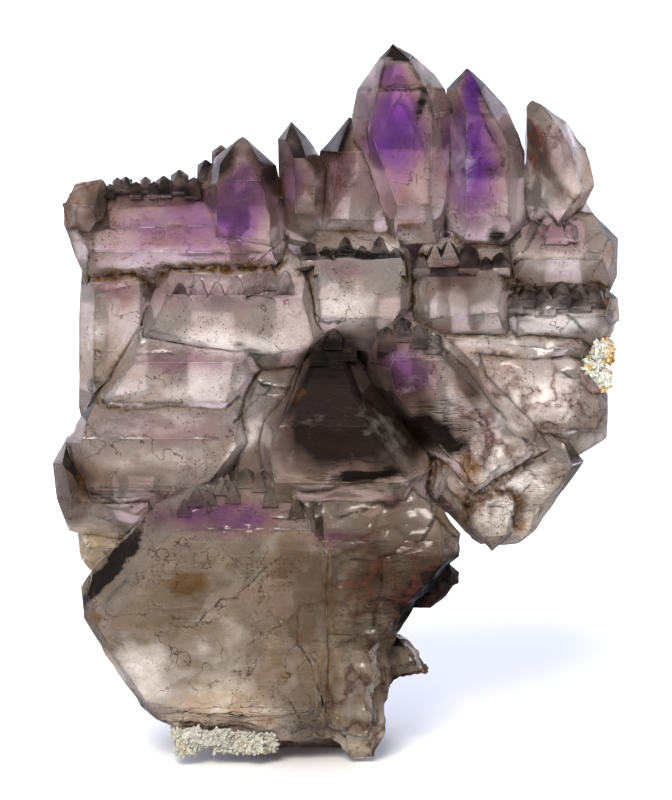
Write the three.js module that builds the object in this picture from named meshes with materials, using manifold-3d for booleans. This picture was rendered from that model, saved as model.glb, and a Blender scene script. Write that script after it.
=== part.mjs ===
// A standing plate of smoky amethyst: some fifty quartz crystals grown together in parallel, every
// c axis upright, with toothed crests, on a broken foot, and two patches of white druse. Millimetres, +Z up.
// The front faces -Y. The origin is on the flat cut under the foot, at the middle of the plate.
import * as THREE from "three";
import { ConvexGeometry } from "three/addons/geometries/ConvexGeometry.js";
import { mergeVertices } from "three/addons/utils/BufferGeometryUtils.js";
import Module from "manifold-3d";

const wasm = await Module();
wasm.setup();

// Quartz angles. A rhombohedral face leans 38.2 degrees off the upright c axis, and the prism
// faces stand 60 degrees apart, so these are how far each kind of face turns out of the X-Z plane.
const RHOMB_LEAN = THREE.MathUtils.degToRad(38.2);
const PRISM_SIDE_TURN = THREE.MathUtils.degToRad(30);
const RHOMB_SIDE_TURN = THREE.MathUtils.degToRad(23.1);
const RHOMB_FRONT_TURN = THREE.MathUtils.degToRad(51.8);

// An outline edge whose normal rises less than the first is a prism face, less than the second
// a corner rhombohedral face, and otherwise a front or back one.
const PRISM_RISE = 0.35;
const CORNER_RISE = 0.93;

// Points closer than the weld are one point, and ledges lower than the last are smoothed away.
const WELD = 1e-3;
const SAME_POINT = 1e-4;
const SMOOTHED = 0.02;
const CUT_SIZE = 200;
const DRUSE_GAP = 0.3;

// The small crystals of a crest: length and setting back as shares of their width, width as a share
// of the space between two tips, and how much their lower end slopes.
const TIP_LENGTH = 1.5;
const TIP_SET_BACK = 0.05;
const TIP_OVERLAP = 1.25;
const TOE_SLOPE = 0.4;

// How far a crest crystal stands out of the brow it grows on, and the ridge depth past which a
// crystal belongs to the back of the plate.
const TIP_PROUD = [0.15, 0.5];
const BACK_RIDGE = 3;

// A chipped crystal loses its corners down to a random depth in this range.
const CHIP_DEPTH = [0.25, 1.1];

const GRAIN_FACES = 5;
const GRAIN_SMALLEST = 0.55;

const COLOURS = { amethyst: "#8d7a86", druse: "#d9d6cb" };

// Each crystal: its outline where it is widest, seen from the front as [x, z]; the depths of its
// front face, widest section and back face; and the heights where the front and back faces end
// above (brow) and below (sill) and turn in along rhombohedral faces. A third number on a corner
// is how far the next face round turns, in degrees, where it isn't at a quartz angle.
const FRONT_CRYSTALS = {
  left_end: {
    outline: [
      [-38.1, 78.6], [-36.8, 80.6], [-33, 81], [-30.6, 79.4], [-31, 75], [-34, 71.6], [-37.6, 73.6],
    ],
    front: -6, ridge: -2, back: 9, brow: 78.6, sill: 73.4, chips: 16,
  },
  left_shelf: {
    outline: [
      [-38.1, 77], [-37.9, 74], [-35.8, 68.2], [-34.8, 65.6], [-9.6, 65.2], [-6.6, 69.4], [-6.6, 78],
      [-10, 79.6], [-32, 79],
    ],
    front: -5, ridge: -1, back: 8, brow: 76.2, sill: 70.5,
  },
  shelf_peak: {
    outline: [
      [-12.9, 86.5], [-16.9, 83.4], [-19, 79], [-18.4, 68.2], [-10.4, 66.8], [-6.7, 71], [-6.7, 75.9],
      [-8.3, 82.3],
    ],
    front: -5.4, ridge: -1.2, back: 7, brow: 80.6, sill: 70.7,
  },
  second_peak: {
    outline: [[-6.2, 88.4], [-8.1, 85.9], [-7.7, 71.4], [-0.8, 70.5], [-0.6, 81.6], [-4.1, 86.3]],
    front: -4.6, ridge: -0.8, back: 6, brow: 83.6, sill: 71.5,
  },
  third_peak: {
    outline: [[1.8, 89], [-2, 84.3], [-3.5, 70.5], [9, 70], [9, 85], [4.5, 87.9]],
    front: -4.4, ridge: -0.6, back: 7, brow: 84.4, sill: 72,
  },
  tall_centre: {
    outline: [
      [7.8, 99.3], [6, 97.4], [2.9, 93], [2.2, 89.3], [2.4, 86.2], [5.6, 77.3], [8.3, 71.6], [14, 71.6],
      [15.6, 76.6], [15.8, 90.1], [15.1, 93], [13.6, 95.1], [10.5, 97.8],
    ],
    front: -8, ridge: -3.4, back: 5.4, brow: 93.4, sill: 76,
  },
  tall_second: {
    outline: [
      [18.1, 96], [15.2, 93], [15.3, 75.9], [17.4, 70], [22.7, 70], [26.3, 74.9], [26.3, 84.5],
      [23.5, 90.5], [20.7, 93.6],
    ],
    front: -7, ridge: -2.4, back: 6, brow: 90, sill: 74,
  },
  tall_right: {
    outline: [
      [27.4, 92], [25.2, 89.7], [25.6, 84], [25.8, 74], [31.4, 71.5], [34.9, 77.1], [36, 79.4], [34.9, 84.8],
      [32.1, 88.6],
    ],
    front: -5, ridge: -1, back: 6, brow: 86.8, sill: 74, chips: 8,
  },
  right_cap: {
    outline: [
      [28.8, 76.6], [23.5, 71.3], [23.8, 66.5], [25, 64.5], [38.1, 64.5], [39.1, 67], [39.2, 72.2],
      [35.6, 75.8],
    ],
    front: -6, ridge: -1.8, back: 8, brow: 72.2, sill: 66.6,
  },
  left_tall_edge: {
    outline: [
      [-35.8, 69.4], [-30, 70.6], [-25, 66.5], [-25, 58], [-33.3, 48.6], [-35.7, 46.4], [-36.5, 50.5],
      [-35.9, 61.2],
    ],
    front: -3.4, ridge: 0.5, back: 9, brow: 66.6, sill: 50,
  },
  upper_window: {
    outline: [
      [-23.6, 68.6], [-22, 72], [-7, 72], [-2.6, 66.4], [-0.6, 59], [-5.6, 51.6], [-11, 50.5], [-26.5, 54.5],
      [-28.6, 58.5], [-28.6, 63.4],
    ],
    front: -6.4, ridge: -2, back: 7, brow: 64.4, sill: 55,
  },
  middle_window: {
    outline: [
      [-4.8, 69], [-2.6, 74.4], [8.4, 74.4], [11.2, 68.2], [11.2, 63.4], [8.5, 58.8], [5.6, 56.5],
      [-1.1, 56.5], [-4.4, 61],
    ],
    front: -6, ridge: -2, back: 6.5, brow: 69.3, sill: 59.4,
  },
  right_window: {
    outline: [
      [12.4, 72.4], [23.4, 72.4], [25.2, 66], [24.2, 57.5], [12.4, 56.5], [10.4, 62], [10.2, 68],
    ],
    front: -6.6, ridge: -2.6, back: 6, brow: 68, sill: 61,
  },
  right_shelf: {
    outline: [[23.2, 65.4], [37, 66.6], [39.2, 64], [39.5, 60.8], [37.4, 57.2], [24.6, 57], [22.8, 61.9]],
    front: -6.4, ridge: -2.4, back: 8, brow: 62.6, sill: 59, chips: 5,
  },
  clear_ledge: {
    outline: [[12, 62], [34, 59.8], [35.6, 57], [34, 54.4], [22, 51], [12, 57]],
    front: -4.6, ridge: -2.2, back: 7, brow: 58.6, sill: 55.4,
  },
  right_cloud: {
    outline: [
      [18, 60], [32.6, 58.4], [36.8, 52.4], [39, 49.4], [38.8, 46.6], [37.6, 43.6], [33, 41], [29, 41],
      [19, 48],
    ],
    front: -6, ridge: -2, back: 8, brow: 55.4, sill: 44, chips: 12,
  },
  left_third: {
    outline: [
      [-27.6, 59.6], [-26, 61], [-12.6, 61], [-9.6, 54], [-15.3, 46.4], [-17, 44.6], [-32.6, 44.6],
      [-33.6, 49.8],
    ],
    front: -7.6, ridge: -3.4, back: 7.5, brow: 55.6, sill: 48,
  },
  left_fourth: {
    outline: [
      [-35.3, 48], [-33, 50.4], [-13, 50.4], [-11.4, 44.4], [-18.3, 35.4], [-21, 33], [-33, 33], [-36.6, 39],
      [-37.6, 44.2],
    ],
    front: -9.8, ridge: -5.8, back: 6, brow: 45.4, sill: 36,
  },
  left_corner: {
    outline: [[-37.4, 44.8], [-39.5, 41], [-39, 36], [-37.3, 31.4], [-30, 29.4], [-24.2, 32], [-22, 44]],
    front: -8.2, ridge: -4, back: 8, brow: 42, sill: 32.6, chips: 3,
  },
  left_under: {
    outline: [[-37.2, 33], [-36.7, 31], [-36.3, 28], [-34.4, 25], [-26, 22], [-24, 34]],
    front: -5.4, ridge: -2, back: 9, brow: 32, sill: 26, chips: 18,
  },
  pale_wedge: {
    outline: [[-13, 56], [-6, 55.4], [-4, 50], [-9, 40], [-17, 34], [-20, 35], [-14, 48]],
    front: -7, ridge: -4.6, back: 6, brow: 51, sill: 37,
  },
  smoky_centre: {
    outline: [
      [-0.4, 60.2, 14], [-5, 54.6, 12], [-10.4, 47.6, 12], [-11, 44.4, 12], [-10.8, 40, 14], [-9, 30.6],
      [-5, 27.6], [9, 27.6], [14.8, 42], [11, 46.6], [5.4, 53], [2, 57.8],
    ],
    front: -14, ridge: -4.6, back: 9, brow: 47.6, sill: 39.8,
  },
  leaning_right: {
    outline: [
      [9, 61.8], [5.9, 59.8], [4.3, 55.3], [5, 52], [14.1, 41], [18.8, 35.6], [30.6, 43.4], [24.8, 50],
      [16.2, 58.1], [13.2, 60.2, 23],
    ],
    front: -10.8, ridge: -5.6, back: 8, brow: 56.4, sill: 38,
  },
  lower_right: {
    outline: [
      [14.1, 45], [12, 38], [17.6, 31.4], [21.3, 28.4], [24.6, 29], [27.9, 31.6], [30.4, 35.2], [34.6, 41.4],
      [31, 46], [20, 48],
    ],
    front: -8.4, ridge: -5, back: 9, brow: 43, sill: 31.4, chips: 6,
  },
  lower_right_block: {
    outline: [[18.4, 38.6], [24.4, 38.6], [25.8, 36], [25, 31.6], [21.6, 29], [18, 32.6], [17.4, 36]],
    front: -9.8, ridge: -7.8, back: 2, brow: 37.4, sill: 31.4,
  },
  great_left: {
    outline: [
      [-16, 41], [-24.6, 36.6, 50], [-33.6, 27.4, 40], [-35.2, 25], [-34.9, 20.5], [-32.7, 16.6],
      [-29.6, 11.3], [-27.2, 8.1], [-25, 6.2], [-20, 3.6], [-14.6, 2.4], [-6.4, 3], [0.6, 3.6], [0.6, 30],
      [-3, 35.6], [-10.4, 41.4],
    ],
    front: -15.4, ridge: -12, back: 11, brow: 33.6, sill: 7.4,
  },
  smoky_lower: {
    outline: [
      [-8, 37.4], [9, 39], [14, 36.6], [17.4, 32.2], [17.4, 28.8], [13.4, 23.2], [8.2, 17.8], [4, 13],
      [-8, 13],
    ],
    front: -15.3, ridge: -10.6, back: 10, brow: 32, sill: 17,
  },
  foot_right: {
    outline: [
      [-8, 24], [5, 24], [8.6, 18.6], [9.2, 14], [8.3, 9.8], [7.2, 5.2], [6.9, 2], [5.3, -1], [2.6, -1],
      [-0.4, 2.9], [-6, 10],
    ],
    front: -15.1, ridge: -11, back: 12, brow: 20, sill: -4,
  },
  foot_spur: {
    outline: [[8, 18.6], [12, 15.2], [13.6, 12], [13.3, 10.6], [9.6, 10], [4, 9], [4, 18]],
    front: -10, ridge: -7, back: 2, brow: 17, sill: 11.6, chips: 6,
  },
  edge_sliver_low: {
    outline: [[15.6, 28], [17.6, 25.4], [17.3, 23], [15, 20.6], [12.8, 19.6], [9, 20], [9, 28]],
    front: -6, ridge: -3, back: 2, brow: 27, sill: 21, chips: 8,
  },
  edge_sliver_high: {
    outline: [[16, 33.5], [21.2, 29.4], [19.6, 26.8], [17, 27.4], [13, 29]],
    front: -5, ridge: -2.6, back: 2, brow: 33, sill: 28, chips: 8,
  },
};

// The back of the plate, grown the same way. Its fronts are buried in the crystals above.
const BACK_CRYSTALS = {
  back_shelf: {
    outline: [[-36.6, 76], [-34, 78.4], [-15, 79], [-12, 77], [-12.4, 65], [-33, 64.6], [-36, 69]],
    front: 0, ridge: 5, back: 9.6, brow: 74.6, sill: 70,
  },
  back_peak: {
    outline: [[-11, 81.4], [-15.4, 76], [-15, 66], [-1, 64], [1.6, 73], [-3.6, 77.6]],
    front: 0, ridge: 6, back: 11.4, brow: 76, sill: 69,
  },
  back_tall: {
    outline: [[8.6, 91.6], [3, 84], [1, 68], [13, 66], [16.4, 72], [15.6, 84]],
    front: 0, ridge: 6.4, back: 12, brow: 84, sill: 71,
  },
  back_second: {
    outline: [[21.4, 87.6], [15.6, 80.4], [14.6, 67], [26, 65], [28.6, 72], [26, 80]],
    front: 0, ridge: 5, back: 9.6, brow: 80, sill: 71,
  },
  back_right: {
    outline: [[31.8, 82], [27.6, 77], [26, 61], [35, 59], [37.6, 66], [36.4, 74.6]],
    front: 0, ridge: 4.4, back: 8.8, brow: 75.6, sill: 65,
  },
  back_left_block: {
    outline: [[-31, 71], [-35.4, 63], [-35.4, 52], [-31, 43], [-25, 45], [-22.6, 56], [-24, 66]],
    front: 0, ridge: 6, back: 11.4, brow: 62, sill: 50,
  },
  back_left_second: {
    outline: [[-18, 70], [-23.6, 64], [-24.4, 50], [-19, 43], [-12, 46], [-10.6, 60], [-13, 67]],
    front: 0, ridge: 7, back: 12.8, brow: 61, sill: 49,
  },
  back_middle_block: {
    outline: [[-5, 75], [-11.4, 67], [-13.6, 52], [-8, 42], [1, 42], [4.4, 48], [4, 64], [0, 71]],
    front: 0, ridge: 7.4, back: 13.8, brow: 65, sill: 50,
  },
  back_middle_second: {
    outline: [[8, 70.6], [3, 65], [2, 52], [6, 43], [13, 46], [14.6, 58], [12.6, 66]],
    front: 0, ridge: 6.6, back: 12.2, brow: 63, sill: 50,
  },
  back_right_block: {
    outline: [[13, 61], [15, 68], [30.6, 69], [36.6, 61], [36.6, 51], [31, 42], [17, 43], [12.6, 50]],
    front: 0, ridge: 5.6, back: 10.8, brow: 62.6, sill: 48,
  },
  back_low_left: {
    outline: [[-36, 42], [-32, 49.6], [-16, 49.6], [-11, 44], [-12, 28], [-19, 18], [-28, 18], [-33, 27]],
    front: 0, ridge: 7.6, back: 13, brow: 42.8, sill: 25,
  },
  back_low_middle: {
    outline: [[-1, 53], [-9, 44.6], [-12, 38], [-10, 20], [0, 14], [8, 18.6], [13.4, 27], [14, 40], [8, 45]],
    front: 0, ridge: 9, back: 15.4, brow: 42.6, sill: 26,
  },
  back_low_right: {
    outline: [[14, 50], [28, 50], [33, 43], [29, 36], [24, 31], [18, 31.4], [12, 34]],
    front: 0, ridge: 5, back: 10.4, brow: 45, sill: 37,
  },
  back_foot: {
    outline: [
      [-22, 26], [-19, 32], [-4, 32], [4, 24], [7.4, 14], [6.2, 1], [4, -10], [-15, -10], [-20, 0],
      [-24.6, 10],
    ],
    front: 0, ridge: 7.6, back: 14.4, brow: 23, sill: 3,
  },
  foot_core: {
    outline: [[-20, 12], [-14, 26], [4, 24], [6.4, 12], [5.6, 0], [3, -6], [-14, -6], [-18, 0]],
    front: -8, ridge: 1.6, back: 8, brow: 22, sill: 8,
  },
};

// Single pointed crystals low on the back: x and height of the tip, width, length and back of each.
const BACK_SPRIGS = [
  [-27.6, 46.6, 10, 19, 15], [-15.6, 51.4, 8, 17, 13.8], [5.6, 53.8, 7.6, 20, 15.2],
  [12.4, 44.6, 7, 16, 13.6], [22.6, 52.6, 9.4, 17, 12.6], [-8.6, 34.6, 9, 17, 15.2],
  [1.6, 25.6, 7, 14, 15.2], [17, 72.6, 6, 15, 11.4],
];

// The outline of a sprig, as shares of its width and length from the tip.
const SPRIG_OUTLINE = [
  [0, 0], [-0.34, -0.18], [-0.5, -0.34], [-0.48, -0.8], [-0.26, -1], [0.28, -1], [0.5, -0.78], [0.5, -0.3],
  [0.26, -0.12],
];
const SPRIG_DEPTH = 0.5;
const SPRIG_BROW = 0.34;
const SPRIG_SILL = 0.82;

// The crests: rows of small crystals side by side along the top of a larger one, whose front face
// and brow they share, each as [x, height of its tip].
const CRESTS = [
  {
    host: FRONT_CRYSTALS.left_shelf,
    tips: [
      [-31.3, 79.9], [-30.3, 80.7], [-29, 80.9], [-27.7, 80.2], [-26.4, 80.8], [-25.2, 80.2], [-23.9, 80.9],
      [-21.7, 81.7], [-19.8, 80.8], [-18.1, 83], [-16, 84.9],
    ],
  },
  {
    host: FRONT_CRYSTALS.middle_window,
    tips: [[-3.6, 72], [-1.4, 71.4], [1.3, 72.6], [3.6, 71.5], [6, 72.7], [8.2, 71.2]],
  },
  {
    host: FRONT_CRYSTALS.right_window,
    tips: [[11.8, 70.6], [13.7, 71.5], [15.7, 72], [18.3, 71.5], [20.7, 70], [22.7, 70.6]],
  },
  {
    host: FRONT_CRYSTALS.upper_window,
    tips: [[-21.6, 66.4], [-19, 67], [-16.4, 66.6], [-13.8, 67.4], [-11.4, 68], [-9.2, 68.6], [-7, 68]],
  },
  { host: FRONT_CRYSTALS.right_cap, tips: [[25.6, 72.8], [27.2, 75], [30.4, 75.6], [32.2, 74.8]] },
  {
    host: FRONT_CRYSTALS.right_shelf,
    tips: [[24.8, 65], [26.6, 66.1], [28.9, 65.6], [31.3, 66.4], [33.8, 66], [35.8, 66.2]],
  },
  { host: FRONT_CRYSTALS.leaning_right, tips: [[7, 60.6], [9.2, 61.8], [11.4, 60.9], [13.4, 60]] },
  { host: FRONT_CRYSTALS.smoky_centre, tips: [[-2.4, 58], [-0.4, 60.1], [1.6, 58.6]] },
  {
    host: FRONT_CRYSTALS.great_left,
    tips: [
      [-20.8, 37.4], [-19.2, 38.8], [-17.4, 38.9], [-15.8, 40.1], [-14.2, 39.2], [-12.4, 41.2], [-10.6, 40.6],
      [-9, 38.8], [-7.2, 39.6], [-5.4, 37.4],
    ],
  },
  {
    host: BACK_CRYSTALS.back_shelf,
    tips: [[-32, 78.6], [-29.6, 79], [-27.2, 79.4], [-24.6, 78.8], [-22, 79.8], [-19.4, 79.6]],
  },
  {
    host: BACK_CRYSTALS.back_right_block,
    tips: [[19, 67.6], [21.4, 68.4], [23.8, 67.8], [26.2, 69], [28.8, 68.2]],
  },
];

// The white druse: where its grains lie, and how many.
const EDGE_DRUSE = { from: [34.8, -4, 52.2], to: [37.4, 0.4, 57.8], radius: 1.6, grains: 14 };
const FOOT_DRUSE = { from: [-21.4, -13.4, 3.2], to: [-8.6, -12, 4.6], radius: 1.7, grains: 18 };

// Plane: points p with normal . p <= reach are inside.
function plane(normal, point) {
  const unit = normal.clone().normalize();
  return { normal: unit, reach: unit.dot(point) };
}

// Random numbers that come out the same each time.
let seed = 7;
function random() {
  seed = (seed * 16807) % 2147483647;
  return seed / 2147483647;
}

function spread(size) {
  return (random() * 2 - 1) * size;
}

function randomDirection() {
  const upright = spread(1);
  const turn = random() * 2 * Math.PI;
  const flat = Math.sqrt(1 - upright * upright);
  return new THREE.Vector3(flat * Math.cos(turn), flat * Math.sin(turn), upright);
}

// The corners of the convex body that the planes bound.
function cornersOf(planes) {
  const corners = [];
  const across = new THREE.Vector3();
  for (let i = 0; i < planes.length; i++)
    for (let j = i + 1; j < planes.length; j++)
      for (let k = j + 1; k < planes.length; k++) {
        const [a, b, c] = [planes[i], planes[j], planes[k]];
        const size = a.normal.dot(across.crossVectors(b.normal, c.normal));
        if (Math.abs(size) < SAME_POINT) continue;
        const point = new THREE.Vector3()
          .addScaledVector(new THREE.Vector3().crossVectors(b.normal, c.normal), a.reach)
          .addScaledVector(new THREE.Vector3().crossVectors(c.normal, a.normal), b.reach)
          .addScaledVector(new THREE.Vector3().crossVectors(a.normal, b.normal), c.reach)
          .divideScalar(size);
        if (planes.some((p) => p.normal.dot(point) > p.reach + SAME_POINT)) continue;
        if (corners.some((p) => p.distanceTo(point) < WELD)) continue;
        corners.push(point);
      }
  return corners;
}

function solidOf(geometry) {
  geometry.deleteAttribute("normal");
  geometry.deleteAttribute("uv");
  const merged = mergeVertices(geometry, WELD);
  return new wasm.Manifold(
    new wasm.Mesh({
      numProp: 3,
      vertProperties: merged.attributes.position.array,
      triVerts: new Uint32Array(merged.index.array),
    }),
  );
}

function bodyOf(planes) {
  return solidOf(new ConvexGeometry(cornersOf(planes)));
}

// How far a face on this outline edge turns towards the front or the back.
function turnOf(rise) {
  if (rise < PRISM_RISE) return PRISM_SIDE_TURN;
  return rise < CORNER_RISE ? RHOMB_SIDE_TURN : RHOMB_FRONT_TURN;
}

// One crystal as the body between its quartz faces.
function crystal({ outline, front, ridge, back, brow, sill, chips = 0 }) {
  const planes = [
    plane(new THREE.Vector3(0, -1, 0), new THREE.Vector3(0, front, 0)),
    plane(new THREE.Vector3(0, 1, 0), new THREE.Vector3(0, back, 0)),
  ];
  const corners = outline.map(([x, z]) => new THREE.Vector2(x, z));
  const round = THREE.ShapeUtils.isClockWise(corners) ? -1 : 1;
  corners.forEach((from, i) => {
    const to = corners[(i + 1) % corners.length];
    const given = outline[i][2];
    const out = new THREE.Vector2(to.y - from.y, from.x - to.x).normalize().multiplyScalar(round);
    const turn = given ? THREE.MathUtils.degToRad(given) : turnOf(Math.abs(out.y));
    for (const side of [-1, 1])
      planes.push(
        plane(
          new THREE.Vector3(out.x * Math.cos(turn), side * Math.sin(turn), out.y * Math.cos(turn)),
          new THREE.Vector3(from.x, ridge, from.y),
        ),
      );
  });
  for (const [depth, side] of [[front, -1], [back, 1]])
    for (const [height, up] of [[brow, 1], [sill, -1]])
      planes.push(
        plane(
          new THREE.Vector3(0, side * Math.cos(RHOMB_LEAN), up * Math.sin(RHOMB_LEAN)),
          new THREE.Vector3(0, depth, height),
        ),
      );
  const uncut = cornersOf(planes);
  for (let i = 0; i < chips; i++) {
    const face = randomDirection();
    const depth = CHIP_DEPTH[0] + random() * (CHIP_DEPTH[1] - CHIP_DEPTH[0]);
    const reach = Math.max(...uncut.map((corner) => face.dot(corner))) - depth;
    planes.push({ normal: face, reach });
  }
  return bodyOf(planes);
}

function sprig([x, z, width, length, back]) {
  const outline = SPRIG_OUTLINE.map(([across, along]) => [x + across * width, z + along * length]);
  const ridge = back - SPRIG_DEPTH * width;
  const [brow, sill] = [z - SPRIG_BROW * length, z - SPRIG_SILL * length];
  return crystal({ outline, front: 0, ridge, back, brow, sill });
}

// A small crystal of a crest: three rhombohedral faces towards its own side of the plate and one
// behind meet near its tip, over upright prism faces. Its lower end slopes into the host.
function crestCrystal(tip, width, inward) {
  const toe = tip.clone().setZ(tip.z - TIP_LENGTH * width);
  const planes = [plane(new THREE.Vector3(0, -inward * TOE_SLOPE, -1), toe)];
  for (const side of [-1, 1])
    planes.push(plane(new THREE.Vector3(side, 0, 0), tip.clone().setX(tip.x + (side * width) / 2)));
  for (const [turn, setBack] of [[-60, TIP_SET_BACK * width], [0, 0], [60, TIP_SET_BACK * width], [180, 0]]) {
    const angle = THREE.MathUtils.degToRad(turn);
    const out = new THREE.Vector3(Math.sin(angle), -inward * Math.cos(angle), 0);
    const rhomb = out.clone().multiplyScalar(Math.cos(RHOMB_LEAN)).setZ(Math.sin(RHOMB_LEAN));
    planes.push(plane(rhomb, tip.clone().addScaledVector(out, setBack)));
  }
  return planes;
}

// Each crystal of a crest is wide enough to run into its neighbours, and leans on the host's brow.
function crest({ host, tips }) {
  const front = host.ridge < BACK_RIDGE;
  const [face, inward] = front ? [host.front, 1] : [host.back, -1];
  return tips.map(([x, z], i) => {
    const before = tips[Math.max(i - 1, 0)][0];
    const after = tips[Math.min(i + 1, tips.length - 1)][0];
    const spacing = (after - before) / (i > 0 && i < tips.length - 1 ? 2 : 1);
    const proud = TIP_PROUD[0] + random() * (TIP_PROUD[1] - TIP_PROUD[0]);
    const y = face + inward * ((z - host.brow) * Math.tan(RHOMB_LEAN) - proud);
    const planes = crestCrystal(new THREE.Vector3(x, y, z), TIP_OVERLAP * spacing, inward);
    planes.push(plane(new THREE.Vector3(0, -inward, 0), new THREE.Vector3(0, face, 0)));
    return bodyOf(planes);
  });
}

// White druse: grains with random facets, clear of the crystals by the gap.
function druse({ from, to, radius, grains }, cluster) {
  const lumps = Array.from({ length: grains }, () => {
    const centre = new THREE.Vector3(...from.map((low, i) => low + random() * (to[i] - low)));
    const size = radius * (GRAIN_SMALLEST + (1 - GRAIN_SMALLEST) * random());
    const faces = Array.from({ length: GRAIN_FACES }, () => randomDirection());
    const cube = [-1, 1].flatMap((side) => [0, 1, 2].map((i) => new THREE.Vector3().setComponent(i, side)));
    return bodyOf([...faces, ...cube].map((face) => plane(face, centre.clone().addScaledVector(face, size))));
  });
  const shifts = [-1, 1].flatMap((side) => [0, 1, 2].map((i) => [0, 0, 0].with(i, side * DRUSE_GAP)));
  const clear = shifts.reduce((left, shift) => left.subtract(cluster.translate(shift)), joined(lumps));
  return outerBody(clear.subtract(below()));
}

function joined(solids) {
  return solids.reduce((all, one) => all.add(one));
}

// The largest closed surface: loose chips are left out, and pockets sealed inside are filled.
function outerBody(solid) {
  return solid.decompose().reduce((best, body) => (body.volume() > best.volume() ? body : best));
}

// Everything under the flat cut of the foot.
function below() {
  return solidOf(new THREE.BoxGeometry(CUT_SIZE, CUT_SIZE, CUT_SIZE).translate(0, 0, -CUT_SIZE / 2));
}

function clusterOf() {
  const crystals = [...Object.values(FRONT_CRYSTALS), ...Object.values(BACK_CRYSTALS)];
  const grown = [...crystals.map(crystal), ...BACK_SPRIGS.map(sprig), ...CRESTS.flatMap(crest)];
  return outerBody(joined(grown).subtract(below())).asOriginal().simplify(SMOOTHED);
}

function meshOf(name, solid, colour) {
  const made = solid.getMesh();
  const geometry = new THREE.BufferGeometry()
    .setAttribute("position", new THREE.BufferAttribute(made.vertProperties, 3))
    .setIndex(new THREE.BufferAttribute(made.triVerts, 1));
  geometry.computeVertexNormals();
  const material = new THREE.MeshStandardMaterial({ color: colour, roughness: 0.15, metalness: 0 });
  const mesh = new THREE.Mesh(geometry, material);
  mesh.name = name;
  return mesh;
}

const cluster = clusterOf();
const group = new THREE.Group();
group.add(meshOf("amethyst_cluster", cluster, COLOURS.amethyst));
group.add(meshOf("edge_druse", druse(EDGE_DRUSE, cluster), COLOURS.druse));
group.add(meshOf("foot_druse", druse(FOOT_DRUSE, cluster), COLOURS.druse));
export default group;
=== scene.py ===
"""The finish of a smoky amethyst crystal cluster, laid out as an add-on and run as a script.

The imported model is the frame. The crystals get fine facets, worn edges, growth lines and colour
zones, the druse gets its grains, and a pale studio is set round them. Crystals are measured in
millimetres here, so mesh work is in millimetres and only finished meshes are in metres.
"""
import itertools
import math
from functools import partial

import bmesh
import bpy
import numpy as np
from bpy.props import FloatProperty, FloatVectorProperty, IntProperty, PointerProperty
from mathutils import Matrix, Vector, kdtree


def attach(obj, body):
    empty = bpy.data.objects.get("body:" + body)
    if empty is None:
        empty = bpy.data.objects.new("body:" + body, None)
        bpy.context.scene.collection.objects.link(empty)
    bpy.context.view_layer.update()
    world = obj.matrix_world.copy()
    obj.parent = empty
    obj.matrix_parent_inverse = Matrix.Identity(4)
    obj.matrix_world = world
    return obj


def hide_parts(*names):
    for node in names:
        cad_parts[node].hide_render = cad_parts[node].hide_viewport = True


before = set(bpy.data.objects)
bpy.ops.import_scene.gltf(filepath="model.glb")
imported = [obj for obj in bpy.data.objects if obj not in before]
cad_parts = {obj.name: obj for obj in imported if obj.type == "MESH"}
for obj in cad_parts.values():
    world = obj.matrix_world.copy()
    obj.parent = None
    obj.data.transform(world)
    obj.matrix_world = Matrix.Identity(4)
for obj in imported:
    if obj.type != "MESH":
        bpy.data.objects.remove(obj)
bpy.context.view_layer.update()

bl_info = {
    "name": "Smoky Amethyst Cluster",
    "version": (1, 0, 0),
    "blender": (4, 5, 0),
    "location": "3D View > Sidebar > Amethyst",
    "description": "Dresses a packed crystal cluster and sets a pale studio round it",
    "category": "Add Mesh",
}

MM = 0.001

# Names of the nodes used most.
NOISE, MATH, RANGE, MIX = "ShaderNodeTexNoise", "ShaderNodeMath", "ShaderNodeMapRange", "ShaderNodeMix"
PRINCIPLED = "ShaderNodeBsdfPrincipled"

# Patterns are moved off the origin, in mm, so that fields of different sizes don't share a middle.
PATTERN_SHIFT = (137, 59, 83)

# What each point and facet of the crystals carries for their material.
KEPT = (
    "violet smoke tan iron milk dark outline crack swirl wrinkles broken tooth rim joint crust "
    "facet_tone bevel crest"
).split()

# The camera's height above the horizon, in degrees.
CAMERA_ELEVATION = 8

# Corners closer than this are one, and faces that turn less than this are one flat facet.
MERGE = 0.002
FLAT_ANGLE = math.radians(0.7)

# An edge of the dressed mesh that turns more than this is shaded sharp.
SHARP_ANGLE = math.radians(22)

# An edge that turns more than this is a rim of a crystal, or a seam between two where it is hollow.
CREASE_ANGLE = math.radians(7)

# How much a tip face of quartz looks up, and the area in square mm under which it belongs to a crest tooth.
TIP_FACE = 0.618
CREST_AREA = 9.0

# How far off that slope a tip face may be, and how far in mm a crystal's other points may pass its plane.
TIP_SLOPE_OFF = 0.06
TIP_PASSED = 0.3

# The width and height in mm under which a crystal is a small one of the crests.
SMALL_CRYSTAL = (4.2, 5.5)

# The depth under a crystal's own tip faces is kept up to this, in mm.
TIP_DEPTH = 12.0

# Distances are kept up to this: in mm from rims, and in widths from cracks. Those from joints and seams
# are kept up to twice this.
FAR = 4.0

# Behind this depth the mesh is only as fine as the back needs.
BACK_STARTS = 3.0

# The finest crack drawn, in mm.
FINEST_CRACK = 0.28

# Mesh edges are this share of their usual length, within this many widths of a crack.
CRACK_SPACING = 0.65
CRACK_REACH = 2

# The picture's scale on the front, in mm for a pixel, its middle in pixels, and the height in mm there.
PIXEL = 0.14
PICTURE_MIDDLE = (336, 400)
MIDDLE_HEIGHT = 49.3

# Seeds of the nicks, of the facets' tones, of the first patch table, of the pale crests and of the cracks.
NICK_SEED, TONE_SEED, PATCH_SEED, PALE_CREST_SEED, CRACK_SEED = 5, 9, 40, 51, 101

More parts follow.
